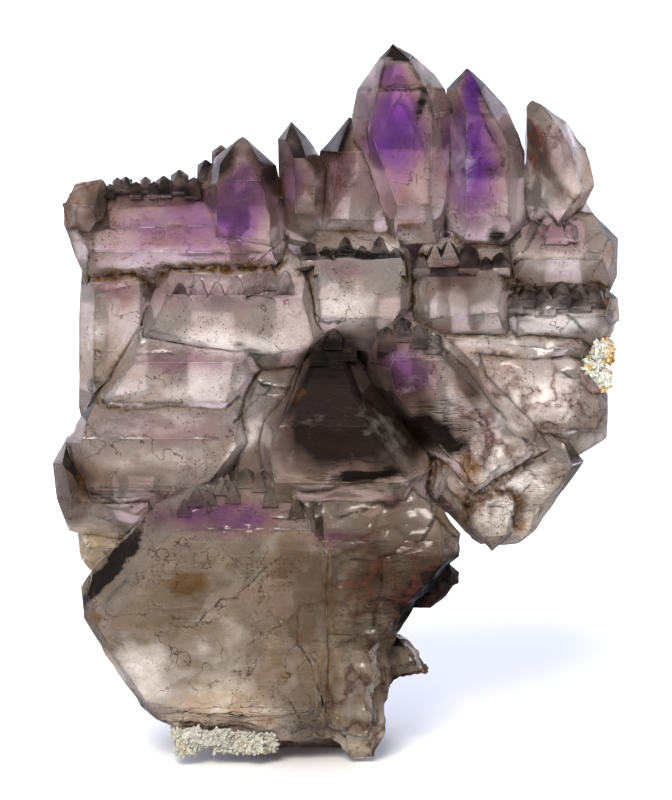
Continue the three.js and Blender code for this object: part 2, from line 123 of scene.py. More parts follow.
# Noise of the relief and the joints: size of its lumps in mm, seed and octaves.
WAVE_NOISE = (9.0, 3, 2)
LINE_NOISE = (0.5, 11, 2)
WEAR_NOISE = (2.6, 21, 3)
STEP_NOISE = (1.9, 31, 3)
CRUMB_NOISE = (0.8, 33, 2)
JOINT_NOISE = (2.2, 61, 2)
SHELL_NOISE = (6.0, 71, 2)
SMALL_SHELL_NOISE = (2.6, 73, 2)
BACK_NOISE = (5.0, 91, 2)

# What makes the edges of patches and cracks uneven: lump size, how far they are moved, both in mm, and
# octaves.
PATCH_DRIFT = (4.0, 1.1, 2)
CRACK_DRIFT = (1.6, 0.4, 3)

# Least and greatest radius of a nick in mm before it is curved towards small ones, and its steepness.
NICK_RADII = (0.25, 0.9)
NICK_CURVE = 1.5
NICK_SLOPE = 0.45

# The part of a pale crest that is pale throughout.
PALE_CREST_CORE = 0.45

# The share of violet, smoke and tan that the back keeps.
BACK_SHARE = 0.6

# Quartz: its refractive index, and the tint of light through it with its strength in a metre.
QUARTZ_IOR = 1.544
QUARTZ_TINT = "#e0cfd6"
TINT_DENSITY = 14.0

# Colour patches on the front of the crystals: middle x and height, half width and half height in mm,
# turn in degrees, and strength.
VIOLET = {
    "tall centre crystal": (7.8, 84.6, 7.6, 14.0, 0, 0.42),
    "heart of the tall centre crystal": (7.8, 88.0, 5.0, 7.0, 0, 0.75),
    "window in its tip": (7.7, 95.2, 2.8, 2.2, 0, 0.5),
    "second tall crystal": (19.4, 82.6, 5.6, 13.0, 0, 0.6),
    "heart of the second tall crystal": (17.6, 83.6, 3.8, 8.6, 0, 0.66),
    "wedge of the second tall crystal": (18.6, 92.4, 1.5, 4.6, -6, 0.9),
    "right tall crystal": (30.4, 84.0, 3.6, 5.4, 0, 0.3),
    "shelf peak": (-12.6, 78.6, 7.0, 8.6, 0, 0.6),
    "left shelf": (-24.0, 74.6, 15.0, 6.0, 0, 0.47),
    "right end of the left shelf": (-16.0, 75.0, 6.0, 5.0, 0, 0.16),
    "strip under the left shelf": (-22.0, 69.6, 14.6, 2.6, 0, 0.3),
    "second peak": (-6.1, 81.6, 3.0, 6.8, 0, 0.5),
    "third peak": (-0.6, 81.3, 3.6, 6.8, 0, 0.42),
    "top of the left edge": (-31.3, 66.0, 3.8, 3.0, 0, 0.42),
    "top of the upper window": (-15.8, 65.4, 14.0, 3.0, 0, 0.38),
    "middle window": (1.2, 68.4, 5.6, 1.6, 0, 0.3),
    "right window": (16.2, 67.6, 5.0, 2.6, 0, 0.34),
    "right cap": (30.6, 73.0, 6.0, 3.4, 0, 0.42),
    "left third": (-20.4, 55.8, 10.0, 2.4, 0, 0.4),
    "left fourth": (-23.0, 46.8, 14.0, 2.4, 0, 0.34),
    "smoky centre": (-2.6, 48.9, 9.0, 3.6, 0, 0.42),
    "top of the leaning crystal": (9.0, 54.6, 6.0, 5.0, 20, 0.74),
    "band of the great crystal": (-17.6, 35.2, 12.6, 3.0, 0, 0.52),
    "right end of that band": (-11.4, 35.4, 4.6, 2.6, 0, 0.26),
    "top of the lower smoky crystal": (0.2, 32.4, 5.0, 2.2, 0, 0.42),
    "mauve spot of the lower smoky crystal": (7.6, 36.0, 4.0, 1.6, -20, 0.3),
}
SMOKE = {
    "smoky centre": (0.6, 49.4, 11.4, 8.2, 0, 1.0),
    "low left of the smoky centre": (-3.4, 43.4, 9.0, 4.6, 0, 0.4),
    "right lobe of the smoky centre": (8.6, 44.0, 5.0, 4.4, 20, 0.7),
    "foot of the smoky centre": (0.6, 39.2, 11.0, 3.2, 0, 0.14),
    "tip of the smoky centre": (-0.4, 55.3, 4.2, 4.2, 0, 0.9),
    "lower smoky crystal": (7.6, 27.0, 9.0, 8.4, 0, 0.66),
    "right side of the lower smoky crystal": (11.6, 23.4, 3.6, 7.0, 36, 0.9),
    "body of the leaning crystal": (14.8, 48.8, 6.4, 3.6, 45, 0.52),
    "right edge of the leaning crystal": (19.4, 51.0, 9.0, 1.6, 52, 0.6),
    "peaks": (-3.3, 79.4, 7.4, 9.4, 0, 0.46),
    "shelf peak": (-12.6, 81.4, 6.0, 6.0, 0, 0.5),
    "left shelf": (-25.0, 78.2, 12.0, 2.2, 0, 0.34),
    "body of the left shelf": (-22.0, 75.0, 14.0, 5.0, 0, 0.2),
    # Painted shade: the next four darken the side faces of the shelf peak and of the second peak, as if
    # smoky.
    "left side of the shelf peak": (-15.6, 82.4, 1.6, 3.6, 35, 0.85),
    "right side of the shelf peak": (-9.2, 82.2, 1.6, 3.8, -35, 0.85),
    "left side of the second peak": (-7.7, 84.4, 1.1, 4.4, 20, 0.8),
    "right side of the second peak": (-4.2, 84.6, 1.3, 4.4, -28, 0.8),
    "top of the third peak": (-0.2, 86.0, 3.0, 3.0, 20, 0.7),
    "foot of the tall centre crystal": (8.1, 76.0, 5.4, 4.6, 0, 0.34),
    "foot of the second tall crystal": (20.4, 76.0, 4.0, 4.0, 0, 0.5),
    "right tall crystal": (28.0, 84.6, 4.0, 8.4, -20, 0.4),
    "vein of the right tall crystal": (28.4, 83.4, 1.4, 8.0, -25, 0.42),
    "top of the leaning crystal": (9.0, 55.4, 7.0, 4.0, 45, 0.34),
    "foot of the left fourth": (-30.0, 38.9, 8.6, 2.2, 0, 0.36),
    "foot": (2.4, 12.5, 6.4, 8.4, 0, 0.1),
    "left corner": (-36.2, 38.4, 3.1, 7.0, 0, 0.5),
    "right window": (17.2, 66.6, 5.4, 4.2, 0, 0.5),
    "great crystal": (-4.6, 24.0, 5.0, 9.0, 0, 0.36),
    "left end": (-35.0, 77.0, 4.8, 5.4, 0, 0.6),
    "right rim of the lower smoky crystal": (15.4, 24.0, 3.4, 8.0, 36, 0.9),
    "right cap": (26.0, 74.6, 3.0, 2.4, -30, 0.36),
    "top of the left third": (-10.6, 55.4, 3.4, 3.0, 40, 0.5),
}
TAN = {
    "great crystal": (-14.0, 20.0, 22.0, 17.0, 0, 0.85),
    "lower smoky crystal": (6.0, 24.0, 13.0, 16.0, 0, 0.9),
    "foot": (3.0, 9.0, 9.0, 12.0, 0, 0.9),
    "rim of the great crystal": (-33.0, 14.0, 3.0, 12.0, -30, 1.0),
    "left end": (-35.4, 77.0, 4.8, 4.4, 0, 0.7),
    "lower right": (23.0, 38.0, 10.0, 9.0, 0, 0.75),
    "foot of the smoky centre": (0.6, 38.6, 11.0, 3.0, 0, 0.8),
    "left edge": (-33.5, 57.0, 3.6, 8.0, 0, 0.45),
    "left under": (-34.0, 29.0, 5.0, 5.0, 0, 0.9),
    "left fourth": (-25.0, 41.0, 12.0, 4.0, 0, 0.3),
    "right cloud": (30.0, 50.0, 9.0, 6.0, 0, 0.3),
}
IRON = {
    "left edge": (-33.0, 55.5, 2.8, 5.0, 0, 0.4),
    "great crystal": (-19.9, 25.9, 4.0, 2.8, 0, 1.0),
    "foot of the tall centre crystal": (9.0, 74.0, 4.0, 1.4, 0, 0.5),
    "foot of the second tall crystal": (21.9, 73.7, 2.0, 2.4, 0, 0.6),
    "end of the right shelf": (37.8, 63.3, 1.3, 2.4, 0, 0.8),
    "edge of the right cap": (37.8, 70.6, 1.0, 2.4, 0, 0.7),
    "lower right": (18.7, 38.3, 4.0, 5.0, 0, 0.6),
    "spot of the lower right": (18.6, 41.6, 1.6, 1.6, 0, 1.0),
    "second spot of the lower right": (25.4, 32.9, 1.2, 1.4, 0, 1.0),
    "left bevel": (-33.4, 21.2, 1.3, 1.8, 0, 1.0),
    "low edge": (-15.0, 6.4, 12.0, 1.2, -4, 0.5),
}
MILK = {
    "inside of the right shelf": (31.0, 60.7, 6.8, 2.2, 0, 1.0),
    "middle window": (1.9, 62.8, 5.4, 4.4, 0, 0.7),
    "ledge under the right shelf": (20.0, 58.0, 9.0, 1.8, -6, 0.6),
    "right cloud": (27.0, 50.3, 9.3, 5.0, -12, 0.75),
    "low left of the great crystal": (-26.4, 12.8, 6.0, 7.0, -30, 0.75),
    "middle of the great crystal": (-16.7, 16.1, 8.4, 7.0, 0, 0.36),
    "foot of the upper window": (-14.7, 58.2, 11.0, 2.8, 0, 0.6),
    "top of the upper window": (-15.8, 65.8, 12.0, 2.6, 0, 0.35),
    "left third": (-23.7, 51.4, 9.4, 2.6, 0, 0.45),
    "left fourth": (-25.0, 42.6, 10.0, 2.4, 0, 0.3),
    "top of the left fourth": (-23.0, 46.8, 12.0, 2.2, 0, 0.4),
    "foot": (2.6, 10.0, 5.0, 8.0, 0, 0.3),
    "foot of the left shelf": (-25.0, 69.4, 12.0, 2.2, 0, 0.5),
    "foot of the third peak": (-1.0, 74.4, 5.0, 1.8, 0, 0.4),
    "pale wedge": (-12.6, 44.4, 1.8, 7.0, 35, 0.8),
    "lower right": (24.7, 40.5, 8.0, 5.6, 30, 0.75),
    "low lower right": (22.6, 35.0, 6.0, 5.0, 0, 0.7),
    "left edge": (-33.8, 59.0, 3.0, 4.0, 0, 0.5),
    # The next two are painted highlights: glints put on as white veil.
    "glint of the smoky centre": (-2.7, 39.4, 2.6, 0.6, 0, 0.6),
    "slant glint of the smoky centre": (6.9, 46.6, 4.6, 1.4, 45, 0.2),
    "right cap": (29.6, 69.0, 8.0, 2.6, 0, 0.55),
    "foot of the tall centre crystal": (9.0, 71.6, 5.0, 1.8, 0, 0.7),
    "heart of the second tall crystal": (17.0, 84.0, 2.4, 6.0, 0, 0.45),
    "swirl of the right cloud": (29.6, 49.8, 3.4, 1.6, 30, 1.0),
    "crest of the leaning crystal": (10.0, 57.6, 2.6, 1.2, -20, 0.25),
}
DARK = {
    "tip of the tall centre crystal": (8.4, 98.2, 3.0, 2.0, 0, 1.0),
    "right rim of its front": (11.6, 91.6, 1.0, 4.0, 10, 0.8),
    "foot of the second tall crystal": (22.6, 72.6, 1.8, 2.0, 0, 0.7),
    "foot of the tall centre crystal": (4.2, 75.4, 1.2, 1.6, 0, 0.6),
    "tip of the right tall crystal": (28.0, 90.8, 2.4, 1.4, -30, 0.5),
    "crest of the left shelf": (-24.0, 79.0, 9.6, 0.9, 3, 0.42),
    "crest of the upper window": (-15.6, 70.3, 11.0, 0.7, 2, 0.42),
    "crest of the middle window": (1.4, 70.5, 7.4, 1.0, 0, 1.0),
    "crest of the right window": (15.6, 70.4, 6.0, 0.9, -4, 0.55),
    "crest of the right cap": (27.4, 75.6, 2.4, 1.8, -30, 0.6),
    "right lobe of the right shelf": (37.0, 62.0, 1.6, 2.0, 0, 0.5),
    "patch of the leaning crystal": (13.2, 45.8, 6.4, 2.6, 22, 1.0),
    "band of the smoky centre": (4.6, 40.6, 6.4, 0.9, -8, 0.9),
    # Painted shade: the bevel of the great crystal is darkened where its glassy face looks dark.
    "bevel of the great crystal": (-30.8, 27.4, 1.25, 10.0, 36, 1.1),
    "spot on the left edge": (-33.5, 51.9, 1.5, 1.4, 0, 0.6),
    "tip of the smoky centre": (-0.4, 55.9, 3.6, 3.4, 0, 0.62),
    "right edge of the lower smoky crystal": (13.0, 24.0, 2.2, 8.0, 36, 0.8),
    "middle of the lower smoky crystal": (7.4, 23.0, 5.4, 2.0, -10, 0.5),
    "tip of the left third": (-11.6, 56.6, 3.4, 0.8, 30, 0.5),
}

SWIRL = {
    "right tall crystal": (27.6, 84.4, 2.0, 7.4, -24, 1.0),
    "foot of the right tall crystal": (31.4, 77.4, 3.0, 1.8, 30, 1.0),
    "lower right": (22.4, 40.0, 8.0, 7.0, 0, 0.5),
    "end of the leaning crystal": (19.6, 45.4, 6.0, 3.4, 45, 0.7),
    "lower smoky crystal": (6.4, 25.6, 9.0, 8.0, 0, 0.6),
    "right cloud": (29.0, 50.0, 9.0, 6.0, 0, 0.6),
    "left end": (-34.6, 76.4, 4.6, 4.4, 0, 0.7),
    "foot": (3.4, 9.0, 6.0, 9.0, 0, 0.7),
    "third peak": (-1.0, 79.0, 3.6, 5.0, 0, 0.5),
}
# Crests whose small tip faces are not as dark as the others.
PALE_CRESTS = {
    "upper window": (-14.0, 68.2, 13.0, 3.0, 0, 0.8),
    "leaning crystal": (9.6, 57.0, 5.0, 3.0, 0, 0.35),
    "great crystal": (-15.6, 37.2, 12.0, 3.6, 0, 0.5),
    "right cap": (29.0, 72.6, 6.0, 3.0, 0, 0.8),
}
# Where thin dark lines run level through the quartz, as on healed breaks.
WRINKLES = {
    "low edge": (-16.0, 7.4, 12.0, 1.8, -5, 1.0),
    "patch of the leaning crystal": (15.0, 46.4, 7.0, 3.6, 30, 0.9),
    "body of the leaning crystal": (16.0, 49.6, 8.0, 4.0, 45, 0.4),
    "band of the smoky centre": (3.0, 40.6, 9.0, 3.0, 0, 0.8),
    "foot of the left fourth": (-29.0, 37.6, 8.0, 1.6, -6, 0.7),
    "crest of the right shelf": (31.4, 63.8, 7.6, 1.6, 0, 0.8),
    "lower right": (24.0, 37.0, 8.0, 6.0, 20, 0.5),
    "lower smoky crystal": (8.0, 24.0, 8.0, 9.0, 0, 0.5),
    "brow of the tall centre crystal": (7.9, 93.3, 4.0, 0.7, 0, 1.0),
    "great crystal": (-20.0, 24.0, 8.0, 5.0, 20, 0.25),
    "right window": (16.6, 69.0, 5.4, 2.0, 0, 0.5),
}
# Dark lines and cracks on the front: width in mm, then the places that each runs through, in pixels of
# the picture from its left and from its top. Those finer than FINEST_CRACK are drawn that wide.
CRACKS = {
    "branch from the stain": (
        0.16, (174.7, 607.6), (195, 610.5), (212.4, 593.1), (224, 581.5), (238.5, 581.5),
        (258.8, 558.3), (282, 540.9),
    ),
    "forked crack right of it": (
        0.22, (250, 628), (264.6, 616.3), (282, 607.6), (273.3, 597.5), (287.8, 604.7), (299.4, 596),
    ),
    "curl at the low right": (0.2, (273, 680), (290.7, 685.9), (302.3, 709), (296.5, 720.7)),
    "upper line of the low edge": (
        0.3, (142, 712), (180.5, 709.1), (212.4, 712), (235.6, 709.1), (256, 713),
    ),
    "lower line of the low edge": (
        0.42, (150, 721), (171.8, 717.8), (200.8, 716.4), (235.6, 714.9), (253, 720.7), (270.4, 732.3),
        (290, 744),
    ),
    "side of the great crystal": (0.22, (296.5, 596), (299.4, 625), (311, 648), (322.6, 683), (340, 729)),
    "jagged band of the smoky centre": (
        0.7, (304.8, 479.5), (329, 476.8), (348, 471.4), (356, 467.4), (375, 468.7), (391, 464.7),
        (404, 461),
    ),
    "second band": (0.8, (361.5, 494.4), (375, 489), (391, 493), (407.4, 490.3)),
    "line under the bands": (0.2, (272.4, 502.5), (329, 502.5), (366.9, 494.4)),
    "left side of the leaning crystal": (0.45, (366.9, 389), (391, 413.4), (412.8, 435), (431.7, 455)),
    "right side of the leaning crystal": (
        0.4, (428.8, 330), (462.4, 356.4), (488.8, 385), (508, 411.6), (534.4, 438), (548.8, 459.6),
    ),
    "streak of the leaning crystal": (0.5, (468, 393), (481, 407), (491, 424)),
    "slant over the lower smoky crystal": (
        0.5, (352, 543), (368, 545), (380, 541), (401.6, 537), (420.8, 520.8), (433.6, 501.6),
        (443, 482),
    ),
    "fold of the lower smoky crystal": (0.6, (379, 543), (381, 569), (376, 594), (372, 612)),
    "corner of the shelf": (0.2, (258.8, 256), (270.4, 247.5), (287.8, 236)),
    "side of the left end": (0.3, (119.6, 190), (110.9, 212.7), (99.3, 221.4)),
    "ridge of the tall centre crystal": (0.6, (399, 48), (409.6, 62), (421, 84), (428, 100), (431, 112)),
    "brow of the tall centre crystal": (0.34, (380.6, 86), (400, 88), (423, 85)),
    "left rim of its front": (0.16, (383.5, 61.9), (374.8, 96.7), (366, 122.8), (369, 169)),
    "wedge of the second tall crystal": (0.18, (467.6, 84), (485, 125.7), (493.7, 146), (502.4, 158)),
    "eye of the second tall crystal": (0.5, (489, 138), (497, 147), (500, 162)),
    "arch of the right cap": (
        0.5, (508, 250.6), (523.4, 244), (530, 230.8), (543, 209), (556.4, 222), (561, 226),
    ),
    "line over the right shelf": (0.5, (508, 285.8), (543, 288), (582.8, 289), (609, 284.7)),
    "brown line inside the right shelf": (
        0.5, (512.4, 307.8), (534.4, 310), (543, 305.6), (560.8, 307.8), (574, 318.8), (582.8, 330),
    ),
    "line under the ledge": (0.18, (543, 351.8), (574, 354), (587, 354)),
    "line across the right cloud": (0.22, (560.8, 362.8), (582.8, 382.6), (602.6, 389)),
    "left corner": (0.5, (73, 440), (76, 460.4), (81.9, 480.7), (102, 486.5), (113.8, 492)),
    "foot of the upper window": (0.2, (139.9, 348.8), (158, 346.4), (177.6, 347.3)),
    "tip of the left third": (0.5, (253, 367.6), (264.6, 379), (290.7, 382), (303, 376)),
    "side of the left third": (0.22, (270, 382), (235.6, 414)),
    "near side of the pale wedge": (0.25, (250, 440), (206.6, 500)),
    "high crack of the middle window": (0.14, (316.8, 295), (326, 293), (337, 293.7)),
    "middle crack of the middle window": (0.16, (313.9, 309.6), (328.4, 318.3), (340, 316.9)),
    "low crack of the middle window": (0.14, (322.6, 338.6), (337, 332.8)),
    "network of the lower right": (
        0.26, (464.8, 498), (503, 496.8), (520, 486), (534.4, 469), (553.6, 464.4), (582.4, 459.6),
    ),
    "branch of that network": (0.24, (503, 496.8), (512.8, 507.6), (515, 519.6)),
    "dark hollow of the lower right": (0.6, (443, 469), (448, 483.6), (464.8, 498)),
    "left side of the lower right": (0.35, (436, 454.8), (428.8, 495.6), (457.6, 526.8), (462, 534)),
    "under side of the lower right": (
        0.5, (460, 534), (486.4, 555.6), (496, 546), (512.8, 543.6), (534, 534),
    ),
}
# Where a joint is healed and hardly shows.
HEALED = {
    "beside the great crystal": (-1.0, 18.0, 3.0, 15.0, 0, 1.0),
    "over the foot": (4.0, 18.0, 7.0, 3.0, 0, 1.0),
    "between the shelf and its peak": (-17.0, 74.0, 2.6, 6.0, 0, 0.8),
    "middle of the left fourth": (-20.0, 44.0, 6.0, 3.0, 0, 0.5),
}
# Where the joints carry a thick brown crust, and where shade is painted along the ridges of the tips.
CRUST = {
    "under the left shelf": (-21.0, 67.6, 17.0, 2.4, 0, 1.0),
    "beside the shelf peak": (-8.0, 76.0, 1.8, 9.0, 0, 0.7),
    "beside the third peak": (1.8, 78.0, 2.0, 8.0, 0, 0.6),
    "left of the middle window": (-5.0, 66.0, 2.6, 5.0, 0, 0.8),
    "right of the middle window": (10.4, 66.0, 2.4, 5.0, 0, 1.0),
    "foot of the tall crystals": (15.0, 72.4, 9.0, 2.2, 0, 0.7),
    "under the right cap": (30.0, 66.0, 9.0, 1.8, 0, 1.0),
    "right end": (37.4, 65.0, 2.4, 9.0, 0, 0.8),
    "under the right shelf": (22.0, 57.6, 10.0, 1.8, 0, 0.6),
    "over the great crystal": (-24.0, 38.6, 13.0, 2.2, 0, 0.9),
    "beside the smoky centre": (-11.4, 50.0, 2.4, 9.0, 35, 0.6),
    "lower right": (20.0, 40.0, 9.0, 8.0, 0, 0.9),
    "beside the great crystal": (-1.4, 20.0, 2.0, 15.0, 0, 0.5),
    "left edge": (-33.0, 50.0, 5.0, 14.0, 0, 0.6),
    "slivers": (17.0, 26.0, 4.0, 4.0, 0, 0.8),
}
PAINTED_RIDGE_SHADE = {
    "left shelf": (-22.0, 80.0, 10.0, 3.0, 6, 0.6),
    "shelf peak": (-12.6, 80.5, 6.4, 7.0, 0, 0.8),
    "second peak": (-6.1, 84.0, 4.4, 7.0, 0, 0.8),
    "third peak": (-0.8, 82.0, 5.4, 7.0, 0, 0.8),
    "tall centre": (8.0, 92.0, 8.0, 10.0, 0, 0.85),
    "second tall": (19.0, 90.0, 7.0, 9.0, 0, 0.6),
    "right tall": (29.0, 86.0, 7.0, 8.0, 0, 0.6),
    "right cap": (29.0, 75.0, 8.0, 4.0, 0, 0.6),
    "smoky centre": (0.0, 54.0, 8.0, 7.0, 0, 0.8),
    "leaning crystal": (9.6, 57.0, 8.0, 6.0, 0, 0.8),
    "great crystal": (-16.0, 37.5, 12.0, 3.0, 0, 0.6),
    "windows": (4.0, 70.0, 20.0, 2.0, 0, 0.6),
}

# Faces that are lumpy instead of flat: middle x, depth and height, radius and relief in mm.
LUMPY = {
    "lower smoky crystal": (7.0, -13.0, 27.0, 12.0, 1.8),
    "foot": (4.0, -12.0, 8.0, 10.0, 2.6),
    "spur": (12.0, -6.0, 14.0, 6.0, 1.6),
    "slivers": (17.0, -4.0, 26.6, 6.0, 1.4),
    "low great crystal": (-14.0, -14.0, 7.0, 11.0, 1.0),
    "right cloud": (28.0, -6.0, 50.0, 10.0, 1.4),
    "lower right": (23.0, -8.0, 39.0, 9.0, 1.6),
    "end of the leaning crystal": (19.0, -11.0, 45.0, 6.0, 0.9),
    "right tall crystal": (30.0, -4.0, 83.0, 8.0, 0.8),
    "left end": (-35.0, -3.0, 77.0, 6.0, 0.9),
    "left rim of the great crystal": (-32.0, -12.0, 13.0, 8.0, 1.0),
}

# Places broken rather than grown: middle x, depth and height, radius and relief in mm.
BROKEN = {
    "left end": (-35.0, -2.0, 77.0, 5.0, 0.34),
    "left under": (-34.0, -3.0, 28.6, 6.0, 0.36),
    "left rim of the great crystal": (-34.0, -11.0, 12.0, 6.0, 0.24),
    "right rim of the lower smoky crystal": (16.0, -10.0, 23.0, 5.0, 0.24),
    "right cloud": (36.0, 0.0, 46.0, 5.0, 0.26),
    "right tall crystal": (33.0, -1.0, 80.0, 5.0, 0.16),
    "low right": (27.0, -4.0, 33.0, 6.0, 0.3),
    "spur": (11.6, -4.0, 13.6, 5.0, 0.3),
    "slivers": (17.0, -3.0, 26.6, 6.0, 0.26),
    "low edge": (-16.0, -13.0, 4.4, 10.0, 0.3),
    "foot": (4.0, -8.0, 2.0, 8.0, 0.26),
    "shelf end": (38.6, -1.0, 61.0, 4.0, 0.2),
}


def linear(colour):
    """An sRGB hex colour as linear red, green and blue."""
    parts = [int(colour[i : i + 2], 16) / 255 for i in (1, 3, 5)]
    return tuple(c / 12.92 if c <= 0.04045 else ((c + 0.055) / 1.055) ** 2.4 for c in parts)


def smooth(value, low, high):
    """0 at low, 1 at high and eased between, for arrays."""
    share = np.clip((value - low) / (high - low), 0, 1)
    return share * share * (3 - 2 * share)


def lumps(points, size, seed, octaves=1):
    """Smooth noise from -1 to 1 whose lumps are about size across."""
    total, weight = np.zeros(len(points)), 0.0
    for octave in range(octaves):
        place = points * (2**octave / size) + 17.3 * (seed + octave)
        cell = np.floor(place).astype(np.int64)
        part = smooth(place - cell, 0, 1)
        value = np.zeros(len(points))
        for corner in itertools.product((0, 1), repeat=3):
            mixed = ((cell + corner) * (73856093, 19349663, 83492791)).sum(1) ^ (seed * 40503)
            mixed = ((mixed ^ (mixed >> 13)) * 1274126177) & 0x7FFFFFFF
            share = np.where(np.array(corner) == 1, part, 1 - part).prod(1)
            value += share * (((mixed >> 8) & 0xFFFF) / 32767.5 - 1)
        total += value / 2**octave
        weight += 1 / 2**octave
    return total / weight


def facets_of(node):
    """A node's facets in mm: points, triangles, the facet of each, and each facet's normal and crystal."""
    mesh = bmesh.new()
    mesh.from_mesh(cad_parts[node].data)
    bmesh.ops.remove_doubles(mesh, verts=mesh.verts, dist=MERGE * MM)
    bmesh.ops.dissolve_limit(mesh, angle_limit=FLAT_ANGLE, verts=mesh.verts, edges=mesh.edges)
    mesh.faces.index_update()
    facet = mesh.faces.layers.int.new("facet")
    for face in mesh.faces:
        face[facet] = face.index
    crystal = crystals_of(mesh)
    normals = np.array([face.normal for face in mesh.faces])
    bmesh.ops.triangulate(mesh, faces=mesh.faces[:], quad_method="BEAUTY", ngon_method="BEAUTY")
    mesh.verts.index_update()
    points = np.array([vertex.co for vertex in mesh.verts]) / MM
    triangles = np.array([[vertex.index for vertex in face.verts] for face in mesh.faces])
    facets = np.array([face[facet] for face in mesh.faces])
    mesh.free()
    return points, triangles, facets, normals, crystal


def crystals_of(mesh):
    """The crystal each facet belongs to: each crystal is convex, so facets that meet at a rim share one."""
    owner = list(range(len(mesh.faces)))

    def first(i):
        while owner[i] != i:
            owner[i] = owner[owner[i]]
            i = owner[i]
        return i

    for edge in mesh.edges:
        if len(edge.link_faces) == 2 and edge.calc_face_angle_signed() > -FLAT_ANGLE:
            one, other = (first(face.index) for face in edge.link_faces)
            owner[one] = other
    return np.unique([first(i) for i in range(len(owner))], return_inverse=True)[1]


def split_long_edges(points, triangles, facets, longest):
    """Halves edges until none is longer than longest(middle) allows, with no crack between triangles."""
    while True:
        sides = np.sort(triangles[:, [[0, 1], [1, 2], [2, 0]]], axis=2).reshape(-1, 2)
        edges, side_edge = np.unique(sides, axis=0, return_inverse=True)
        ends = points[edges]
        middles = ends.mean(1)
        long = np.linalg.norm(ends[:, 1] - ends[:, 0], axis=1) > longest(middles)
        if not long.any():
            return points, triangles, facets
        halfway = np.full(len(edges), -1)
        halfway[long] = len(points) + np.arange(long.sum())
        points = np.concatenate([points, middles[long]])
        cut = halfway[side_edge.ravel()].reshape(-1, 3)
        triangles, facets = split_triangles(triangles, facets, cut)


def split_triangles(triangles, facets, cut):
    """Cuts each triangle at the new points on its sides, given in cut, or -1 for a side left whole."""
    count = (cut >= 0).sum(1)
    # Each triangle is turned so that one cut side, or the one whole side of two, comes where wanted.
    turn = np.zeros(len(cut), int)
    turn[count == 1] = np.argmax(cut[count == 1] >= 0, axis=1)
    turn[count == 2] = (np.argmax(cut[count == 2] < 0, axis=1) + 1) % 3
    order = (np.arange(3) + turn[:, None]) % 3
    a, b, c = np.take_along_axis(triangles, order, 1).T
    ab, bc, ca = np.take_along_axis(cut, order, 1).T
    patterns = {
        0: [(a, b, c)],
        1: [(a, ab, c), (ab, b, c)],
        2: [(ab, b, bc), (a, ab, bc), (a, bc, c)],
        3: [(a, ab, ca), (ab, b, bc), (ca, bc, c), (ab, bc, ca)],
    }
    pieces, owners = [], []
    for number, parts in patterns.items():
        chosen = count == number
        for part in parts:
            pieces.append(np.stack([corner[chosen] for corner in part], 1))
            owners.append(facets[chosen])
    return np.concatenate(pieces), np.concatenate(owners)


def creases_of(points, triangles, facets, normals):
    """Edges where facets meet outwards, the rims, and inwards, the seams: ends and both facets of each."""
    sides = triangles[:, [[0, 1], [1, 2], [2, 0]]].reshape(-1, 2)
    far = triangles[:, [2, 0, 1]].ravel()
    owner = np.repeat(np.arange(len(triangles)), 3)
    key = np.sort(sides, axis=1)
    order = np.lexsort(key.T)
    key, far, owner = key[order], far[order], owner[order]
    same = np.nonzero((key[1:] == key[:-1]).all(1))[0]
    one, other = normals[facets[owner[same]]], normals[facets[owner[same + 1]]]
    bent = np.einsum("ij,ij->i", one, other) < math.cos(CREASE_ANGLE)
    inward = np.einsum("ij,ij->i", one, points[far[same + 1]] - points[key[same, 0]]) > 0
    beside = np.stack([facets[owner[same]], facets[owner[same + 1]]], 1)
    return [(points[key[same[kind]]], beside[kind]) for kind in (bent & ~inward, bent & inward)]


def distance_to(points, edges, limit):
    """Distance from each point to the nearest of the short edges, up to limit."""
    tree = kdtree.KDTree(len(edges))
    for i, middle in enumerate(edges.mean(1)):
        tree.insert(middle, i)
    tree.balance()
    nearest = np.array([tree.find(point)[1] for point in points])
    start, along = edges[nearest, 0], edges[nearest, 1] - edges[nearest, 0]
    share = np.einsum("ij,ij->i", points - start, along) / np.einsum("ij,ij->i", along, along)
    closest = start + np.clip(share, 0, 1)[:, None] * along
    return np.minimum(np.linalg.norm(points - closest, axis=1), limit)


def drifted(points, drift, seed):
    """How far each point's x and height are moved before patches or cracks are looked up there."""
    size, reach, octaves = drift
    return np.stack([lumps(points, size, seed + i, octaves) for i in range(2)], 1) * reach


def patches(points, rows, seed, core):
    """How much of a colour lies at each point, from the patches of one kind, full inside their core."""
    seen = points[:, [0, 2]] + drifted(points, PATCH_DRIFT, seed)
    total = np.zeros(len(points))
    for x, z, half_width, half_height, turn, strength in rows.values():
        angle = math.radians(turn)
        away = seen - (x, z)
        across = away @ (math.cos(angle), -math.sin(angle)) / half_width
        up = away @ (math.sin(angle), math.cos(angle)) / half_height
        total = 1 - (1 - total) * (1 - strength * smooth((across**2 + up**2) ** 0.5, 1.3, core))
    return total


def on_front(x, y):
    """A place in the picture as x and height in mm, to the tenth of a mm that it was read to."""
    return (
        round((x - PICTURE_MIDDLE[0]) * PIXEL, 1),
        round(MIDDLE_HEIGHT + (PICTURE_MIDDLE[1] - y) * PIXEL, 1),
    )


def cracks(points):
    """Distance to the nearest of the cracks, in widths of that crack."""
    seen = points[:, [0, 2]] + drifted(points, CRACK_DRIFT, CRACK_SEED)
    nearest = np.full(len(points), FAR)
    for width, *places in CRACKS.values():
        for start, end in itertools.pairwise(np.array([on_front(*place) for place in places])):
            share = np.clip((seen - start) @ (end - start) / ((end - start) @ (end - start)), 0, 1)
            away = np.linalg.norm(seen - start - share[:, None] * (end - start), axis=1)
            nearest = np.minimum(nearest, away / max(width, FINEST_CRACK))
    return nearest


